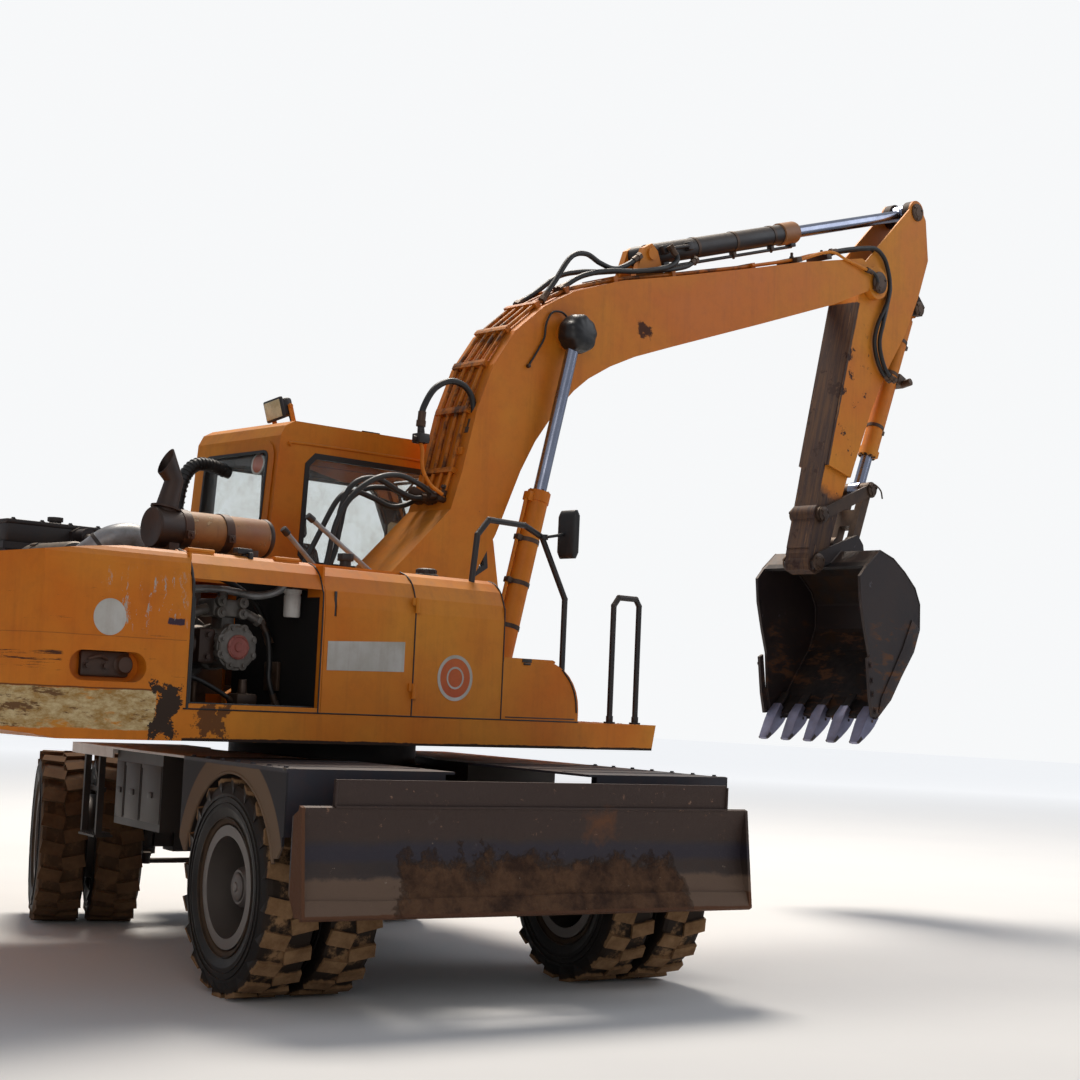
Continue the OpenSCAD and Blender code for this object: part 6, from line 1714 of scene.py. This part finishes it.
    def lamp(self):
        """Work lamp facing the tail, tilted on its bracket; stands for the CAD's plain block."""
        shape = Shape()
        turn = Matrix.Translation((0.05, 0.7, 3.205)) @ Matrix.Rotation(math.radians(-13), 4, "Y")
        turn = turn @ Matrix.Rotation(math.radians(-7), 4, "X")
        shape.slot = 2
        shape.box((-0.03, -0.09, -0.055), (0.045, 0.09, 0.06), 0.02, turn)
        shape.box((-0.05, -0.098, -0.068), (-0.028, 0.098, 0.07), 0.01, turn)
        shape.slot = 1
        shape.box((-0.0535, -0.084, -0.054), (-0.0495, 0.084, 0.056), 0.002, turn)
        for k in range(9):
            shape.box((-0.055, -0.08, -0.047 + 0.0118 * k), (-0.0535, 0.08, -0.0455 + 0.0118 * k), 0, turn)
        shape.slot = 0
        for side in (-1, 1):
            shape.box((-0.005, side * 0.1 - 0.003, -0.1), (0.03, side * 0.1 + 0.003, 0.01), 0.002, turn)
            shape.bolt(turn @ Vector((0.012, side * 0.103, 0)), (0, side, 0), 0.012, 0.01)
        shape.box((-0.005, -0.103, -0.108), (0.03, 0.103, -0.101), 0.002, turn)
        shape.bar((0.055, 0.7, 3.0885), (0.055, 0.7, 3.115), 0.022, sides=20)
        shape.slot = 3
        shape.tube(
            [(0.09, 0.7, 3.2), (0.12, 0.69, 3.17), (0.12, 0.67, 3.12), (0.09, 0.66, 3.098), (0.0, 0.66, 3.096)],
            0.006,
            8,
            steps=5,
        )
        obj = shape.piece("rear_lamp", "orange lens black_paint rubber", "upper")
        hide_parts("work_lamp")

    def outside(self):
        shape = Shape()
        # Door handle in its recess, grab rail by the door, wing screws of the rear window
        shape.box((0.565, 1.2245, 1.915), (0.695, 1.229, 1.937), 0.002)
        shape.tube(
            [(0.58, 1.2265, 1.945), (0.6, 1.236, 1.94), (0.66, 1.236, 1.94), (0.68, 1.2265, 1.945)], 0.005, 8, steps=4
        )
        shape.piece("cab_door_handle", "black_paint", "cab_door")
        shape = Shape()
        rail = [(1.6, 1.21, 1.5), (1.625, 1.232, 1.52), (1.635, 1.232, 1.9), (1.61, 1.21, 1.93)]
        shape.tube(rail, 0.01, 10, steps=5)
        for y in (0.47, 1.075):
            shape.bar((-0.22, y, 2.455), (-0.24, y, 2.455), 0.014, sides=12)
        shape.piece("cab_grab_rail", "black_paint", "upper")
        # Round disc on the rear window, and clamps of the rail's feet
        disc = Shape()
        place = frame_of((-0.1555, 0.6, 2.83), (-1, 0, REAR_LEAN))
        disc.lathe([(0, 0), (0.07, 0), (0.07, 0.001), (0, 0.001)], place, 40)
        disc.slot = 1
        disc.lathe([(0, 0.001), (0.055, 0.001), (0.055, 0.0015), (0, 0.0015)], place, 40)
        disc.piece("window_disc", "pale_patch disc_orange", "upper")
        feet = Shape()
        for x in (1.245, 1.46):
            feet.bar((x, -1.12, 1.3455), (x, -1.12, 1.356), 0.034, sides=20)
            feet.bar((x, -1.12, 1.356), (x, -1.12, 1.39), 0.021, sides=20)
        feet.box((0.822, -1.139, 1.47), (0.858, -1.101, 1.5), 0.004)
        feet.bolt((0.84, -1.14, 1.56), (0, -1, 0), 0.011, 0.012)
        feet.piece("rail_feet", "black_paint", "upper")
        mat = Shape()
        # Raised studs of the walkway's tread plate
        for i in range(8):
            for j in range(12):
                x, y = 0.93 + 0.062 * i + 0.03 * (j % 2), -1.1 + 0.052 * j
                mat.bar((x, y, 1.3445), (x, y, 1.3485), 0.009, 0.006, sides=8, bevel=0)
        mat.piece("walkway_studs", "orange", "upper")


# Undercarriage

# Axles ahead of and behind the slewing ring, kingpins, middle of a wheel pair and half the spread of its tyres
FIXED_AXLE, STEER_AXLE, KINGPIN_Y, TRACK, TWIN = 1.62, 1.23, 0.6, 0.955, 0.165
TYRE_R = 0.515
STEERED = Matrix.Rotation(math.radians(-14), 4, "Z")
# Half the width over the fenders
DECK = 1.245


def wheel_places():
    """Each wheel pair's body and the matrix of its hub, whose +Y points outward."""
    for s, side in ((-1, "left"), (1, "right")):
        flip = Matrix.Diagonal((1, s, 1, 1))
        yield "wheel_blade_" + side, CHASSIS @ Matrix.Translation((FIXED_AXLE, s * TRACK, TYRE_R)) @ flip
        knuckle = CHASSIS @ Matrix.Translation((-STEER_AXLE, s * KINGPIN_Y, TYRE_R)) @ STEERED
        yield "wheel_steer_" + side, knuckle @ flip @ Matrix.Translation((0, TRACK - KINGPIN_Y, 0))


class EXCAVATOR_OT_undercarriage(bpy.types.Operator):
    """Wheel nuts, hubs and sidewalls, steps, lids and fender edges of the chassis"""

    bl_idname = "excavator.undercarriage"
    bl_label = "Undercarriage fittings"

    def execute(self, context):
        for body, place in wheel_places():
            self.wheel(body, place)
        self.boxes()
        self.fenders()
        self.chassis()
        self.blade()
        return {"FINISHED"}

    def wheel(self, body, place):
        name = body.replace("wheel_", "")
        axle = place @ Matrix.Rotation(-math.pi / 2, 4, "X")
        walls = Shape()
        for s in (-1, 1):
            # Moulded rings on the sidewalls, and the bead against the rim
            at = s * TWIN
            for out in (-1, 1):
                for r, lift, wide in ((0.395, 0.0, 0.004), (0.425, 0.0, 0.003), (0.325, -0.008, 0.005)):
                    y = at + out * (0.1395 + lift)
                    low, high = y - out * 0.004, y + out * 0.0035
                    profile = [(r - wide, low), (r - wide * 0.5, high), (r + wide * 0.5, high), (r + wide, low)]
                    walls.lathe(profile, axle, 72)
        walls.piece(name + "_sidewalls", "tyre_" + name, body)
        hub = Shape()
        # Hub's bolted reduction cover and end cap
        way = axle.to_3x3() @ Vector((0, 0, 1))
        hub.lathe([(0.1, 0.085), (0.142, 0.085), (0.142, 0.1), (0.132, 0.106), (0.1, 0.106), (0.1, 0.085)], axle, 48)
        hub.lathe(
            [(0, 0.2255), (0.068, 0.2255), (0.068, 0.231), (0.06, 0.236), (0.025, 0.237), (0.02, 0.243), (0, 0.243)],
            axle,
            40,
        )
        for x, y in around(12, 0.129, 0.5):
            hub.bolt(axle @ Vector((x, y, 0.104)), way, 0.009, 0.01)
        hub.piece(name + "_hub", "rim", body)
        nuts = Shape()
        for x, y in around(10, 0.175):
            spot = axle @ Vector((x, y, 0.0))
            nuts.bar(spot + way * 0.006, spot + way * 0.05, 0.011, sides=10, bevel=0)
            nuts.bolt(spot + way * 0.0085, way, 0.02, 0.026)
        valve = [(0.215, 0, 0.009), (0.222, 0, 0.06), (0.232, 0, 0.12)]
        nuts.tube([axle @ Vector(p) for p in valve], 0.006, 8)
        nuts.piece(name + "_nuts", "greasy_steel", body)

    def boxes(self):
        for s, name in ((1, "left"), (-1, "right")):
            shape = Shape()
            y = s * -(DECK - 0.03)
            # Lid frames and hasps of the tool boxes, tread of the hanging steps
            for x0, x1 in ((-0.05, 0.07), (0.1, 0.32), (0.35, 0.63)):
                middle = (x0 + x1) / 2
                shape.box((x0, y, 0.73), (x1, y - s * 0.004, 1.03), 0.002, CHASSIS)
                shape.box((middle - 0.03, y, 0.86), (middle + 0.03, y - s * 0.012, 0.89), 0.002, CHASSIS)
            shape.piece("box_lids_" + name, "undercarriage", "chassis")
            step = Shape()
            for k in range(9):
                x = -0.56 + 0.029 * k
                inner, outer = s * -(DECK - 0.108), s * -(DECK - 0.012)
                step.box((x, inner, 0.6), (x + 0.006, outer, 0.612), 0, CHASSIS)
            step.piece("step_treads_" + name, "undercarriage", "chassis")

    def fenders(self):
        shape = Shape()
        for s in (-1, 1):
            # Rolled edge round the wheel arch, folded lip and bolts along the top plate
            y = s * (DECK + 0.001)
            line = []
            for k in range(25):
                a = math.radians(18 + 144 * k / 24)
                line.append(
                    CHASSIS @ Vector((FIXED_AXLE + 0.551 * math.cos(a), y - s * 0.004, 0.505 + 0.551 * math.sin(a)))
                )
            shape.tube(line, 0.009, 8)
            for k in range(7):
                x = 1.06 + 0.185 * k
                shape.bolt(CHASSIS @ Vector((x, s * (DECK - 0.03), 1.105)), (0, 0, 1), 0.011, 0.009)
            for x in (1.3, 1.62, 1.94):
                shape.box((x, s * 0.42, 1.1045), (x + 0.03, s * (DECK - 0.09), 1.108), 0.0015, CHASSIS)
        shape.piece("fender_edges", "navy", "chassis")
        strap = Shape()
        for s in (-1, 1):
            for x in (1.0, 2.2):
                strap.box((x, s * (DECK + 0.0005), 1.0935), (x + 0.035, s * (DECK - 0.05), 1.107), 0.002, CHASSIS)
        strap.piece("fender_straps", "undercarriage", "chassis")

    def chassis(self):
        shape = Shape()
        # Bolts of the slewing ring, pipes along the beam, and reinforcing edges
        for x, y in around(30, 0.592):
            shape.bolt((x, y, 1.02), (0, 0, 1), 0.014, 0.014)
        for s in (-1, 1):
            for z, r in ((0.72, 0.011), (0.75, 0.009), (0.79, 0.014)):
                line = [(-1.5, 0.333, 0), (-0.62, 0.334, 0), (-0.5, 0.338, 0.004), (1.0, 0.338, 0), (1.4, 0.336, 0.1)]
                shape.tube([CHASSIS @ Vector((x, s * y, z + rise)) for x, y, rise in line], r, 8)
            for x in (-1.3, -0.7, 1.1, 1.36):
                shape.box((x, s * 0.32, 0.7), (x + 0.04, s * 0.35, 0.82), 0.003, CHASSIS)
        shape.piece("chassis_pipes", "greasy_steel", "chassis")
        # Air tank and its bands under the beam's left side
        tank = Shape()
        for s in (-1, 1):
            ends = (CHASSIS @ Vector((x, s * 0.5, 0.66)) for x in (-0.5, -0.05))
            tank.bar(*ends, 0.1, sides=32, bevel=0.02)
            for x in (-0.42, -0.15):
                tank.lathe(
                    [(0.1, -0.015), (0.104, -0.015), (0.104, 0.015), (0.1, 0.015)],
                    CHASSIS @ frame_of((x, s * 0.5, 0.66), (1, 0, 0)),
                    32,
                )
                tank.box((x - 0.02, s * 0.5 - 0.02, 0.745), (x + 0.02, s * 0.5 + 0.02, 0.785), 0.003, CHASSIS)
        tank.piece("air_tanks", "black_paint", "chassis")

    def blade(self):
        shape = Shape()
        # Weld beads where the upper plate and the end plates meet the mouldboard
        for y in (-1.08, 1.11):
            shape.tube([CHASSIS @ Vector((2.4195, y, 0.95)), CHASSIS @ Vector((2.4205, y, 1.06))], 0.006, 6)
        shape.tube([CHASSIS @ Vector((2.421, y, 0.948)) for y in (-1.08, 1.11)], 0.007, 6)
        for s in (-1, 1):
            line = [blade_face(t / 12) + Vector((-0.003, s * 1.228, 0)) for t in range(1, 13)]
            shape.tube([CHASSIS @ p for p in line], 0.006, 6)
        shape.piece("blade_welds", "blade", "dozer_blade")
        edge = Shape()
        # Worn cutting edge, thicker in the middle and curled at its corners
        rings = []
        for k in range(33):
            y = -1.229 + 2.458 * k / 32
            swell = 0.004 * math.sin(2.1 * y + 0.6) + 0.003 * math.sin(9.3 * y)
            low = blade_face(0.0) + Vector((0, y, 0.004))
            high = blade_face(0.17) + Vector((0, y, swell))
            ring = (low, low + Vector((0.004 + 0.5 * swell, 0, -0.0035)), high + Vector((0.012, 0, 0.0)), high)
            rings.append([edge.mesh.verts.new(CHASSIS @ p) for p in ring])
        edge.skin(rings)
        edge.piece("blade_cutting_edge", "blade", "dozer_blade")


def blade_face(t):
    """Point on the blade's hollow face, from its lower edge at 0 to its upper edge at 1."""
    low, high = Vector((2.48, 0, 0.465)), Vector((2.42, 0, 0.945))
    chord = high - low
    deep = 0.056 * (1 - (2 * t - 1) ** 2)
    return low + chord * t + Vector((-deep, 0, -deep * 0.125))


# Bucket

LIP, BITE = (4.632, 1.435), (4.466, 1.258)
BUCKET_CHEEK = [
    (4.47, 2.56), (4.627, 2.69), (4.8, 2.64), (4.945, 2.55), (5.08, 2.44), (5.145, 2.32),
    (5.15, 2.13), (5.078, 1.95), (4.927, 1.755), (4.805, 1.58), (4.632, 1.435), (4.6, 1.48),
    (4.56, 1.635), (4.535, 1.91), (4.475, 2.09), (4.416, 2.3), (4.396, 2.48),
]


class EXCAVATOR_OT_bucket(bpy.types.Operator):
    """Tooth shanks, wear strips, side cutter bolts and weld beads of the bucket"""

    bl_idname = "excavator.bucket"
    bl_label = "Bucket fittings"

    def execute(self, context):
        lip, bite = (Vector((p[0], 0, p[1])) for p in (LIP, BITE))
        way = (bite - lip).normalized()
        up = Vector((way.z, 0, -way.x))
        teeth, caps = Shape(), Shape()
        for i in range(-2, 3):
            y = BOOM_Y + i * 0.215
            turn = Matrix((way, (0, 1, 0), up)).transposed().to_4x4()
            turn.translation = lip + Vector((0, y, 0))
            # Shank that grips the lip on both sides, and the long worn tooth pushed over its nose
            teeth.box((-0.2, -0.036, -0.046), (0.012, 0.036, -0.031), 0.006, turn)
            teeth.box((-0.2, -0.036, 0.043), (0.012, 0.036, 0.06), 0.008, turn)
            teeth.bar(turn @ Vector((0.02, -0.05, 0)), turn @ Vector((0.02, 0.05, 0)), 0.011, sides=12)
            rings = []
            for x, half, low, high in (
                (-0.06, 0.038, 0.048, 0.07), (0.03, 0.047, 0.046, 0.066), (0.095, 0.047, 0.04, 0.05),
                (0.165, 0.044, 0.028, 0.03), (0.225, 0.038, 0.016, 0.016), (0.2435, 0.03, 0.008, 0.009),
            ):
                ring = [
                    (x, -half, -low), (x, -half * 0.8, -low - 0.004), (x, half * 0.8, -low - 0.004), (x, half, -low)
                ]
                ring += [
                    (x, half, high), (x, half * 0.8, high + 0.004), (x, -half * 0.8, high + 0.004), (x, -half, high)
                ]
                rings.append([caps.mesh.verts.new(turn @ Vector(p)) for p in ring])
            caps.skin(rings)
        teeth.piece("tooth_shanks", "bucket", "bucket")
        caps.piece("tooth_caps", "worn_steel", "bucket", smooth=50)
        self.strips()
        return {"FINISHED"}

    def strips(self):
        shape = Shape()
        for s in (-1, 1):
            y = BOOM_Y + s * 0.5
            # Heel plates on the lower cheeks, and the side cutters with their bolts
            heel = [
                (5.15, 2.13), (5.078, 1.95), (4.927, 1.755), (4.805, 1.58), (4.64, 1.44), (4.68, 1.6), (4.8, 1.78),
                (4.93, 1.98), (5.04, 2.2),
            ]
            shape.plate(side_points(grown(heel, -0.004), y), (0, s * 0.01, 0), 0.003)
            for x, z in ((4.61, 1.5), (4.575, 1.62), (4.56, 1.72), (4.535, 1.83)):
                shape.bolt((x - 0.022, BOOM_Y + s * 0.524, z), (0, s, 0), 0.018, 0.016)
        # Wear strips round the back sheet
        outer = grown(BUCKET_CHEEK, 0.012)
        for y in (-0.36, -0.12, 0.12, 0.36):
            for first in (6, 8):
                near, far = (side_points(line[first : first + 3], BOOM_Y + y - 0.03) for line in (BUCKET_CHEEK, outer))
                shape.plate(near + far[::-1], (0, 0.06, 0), 0.002)
        shape.piece("bucket_wear_strips", "bucket", "bucket")
        welds = Shape()
        for s in (-1, 1):
            y = BOOM_Y + s * 0.5
            welds.tube([Vector((x, y - s * 0.001, z)) for x, z in grown(BUCKET_CHEEK, -0.003)[:11]], 0.006, 6)
            inner = grown(BUCKET_CHEEK, -0.029)[1:10]
            welds.tube([Vector((x, y - s * 0.026, z)) for x, z in inner], 0.009, 6)
            lug = [(4.5, 2.585), (4.627, 2.69), (4.8, 2.642), (4.945, 2.552)]
            welds.tube([Vector((x, BOOM_Y + s * 0.1388, z + 0.003)) for x, z in lug], 0.007, 6)
        welds.piece("bucket_welds", "bucket", "bucket")
        pins = Shape()
        for s in (-1, 1):
            line = [(4.99, 0.14, 3.235), (5.0, 0.16, 3.24), (5.06, 0.17, 3.2), (5.09, 0.165, 3.14)]
            pins.tube([(x, BOOM_Y + s * y, z) for x, y, z in line], 0.006, 8, steps=4)
        pins.piece("link_pin_clips", "greasy_steel", "idler_links")


class EXCAVATOR_PT_panel(bpy.types.Panel):
    """Lists the steps and their settings"""

    bl_label = "Excavator"
    bl_space_type = "VIEW_3D"
    bl_region_type = "UI"
    bl_category = "Excavator"

    def draw(self, context):
        for settings in (context.scene.excavator_finish, context.scene.excavator_view):
            column = self.layout.column()
            for name in settings.__annotations__:
                column.prop(settings, name)
        for operator in STEPS:
            self.layout.operator(operator.bl_idname)


STEPS = (
    EXCAVATOR_OT_stage,
    EXCAVATOR_OT_finishes,
    EXCAVATOR_OT_boom_lines,
    EXCAVATOR_OT_cylinders,
    EXCAVATOR_OT_side_panels,
    EXCAVATOR_OT_engine_bay,
    EXCAVATOR_OT_cab,
    EXCAVATOR_OT_undercarriage,
    EXCAVATOR_OT_bucket,
)
SETTINGS = {"excavator_finish": FinishSettings, "excavator_view": ViewSettings}
CLASSES = (*SETTINGS.values(), *STEPS, EXCAVATOR_PT_panel)


def register():
    for cls in CLASSES:
        bpy.utils.register_class(cls)
    for name, group in SETTINGS.items():
        setattr(bpy.types.Scene, name, bpy.props.PointerProperty(type=group))


def unregister():
    for name in SETTINGS:
        delattr(bpy.types.Scene, name)
    for cls in reversed(CLASSES):
        bpy.utils.unregister_class(cls)


def main():
    register()
    for operator in STEPS:
        namespace, name = operator.bl_idname.split(".")
        getattr(getattr(bpy.ops, namespace), name)()


if __name__ == "__main__":
    main()
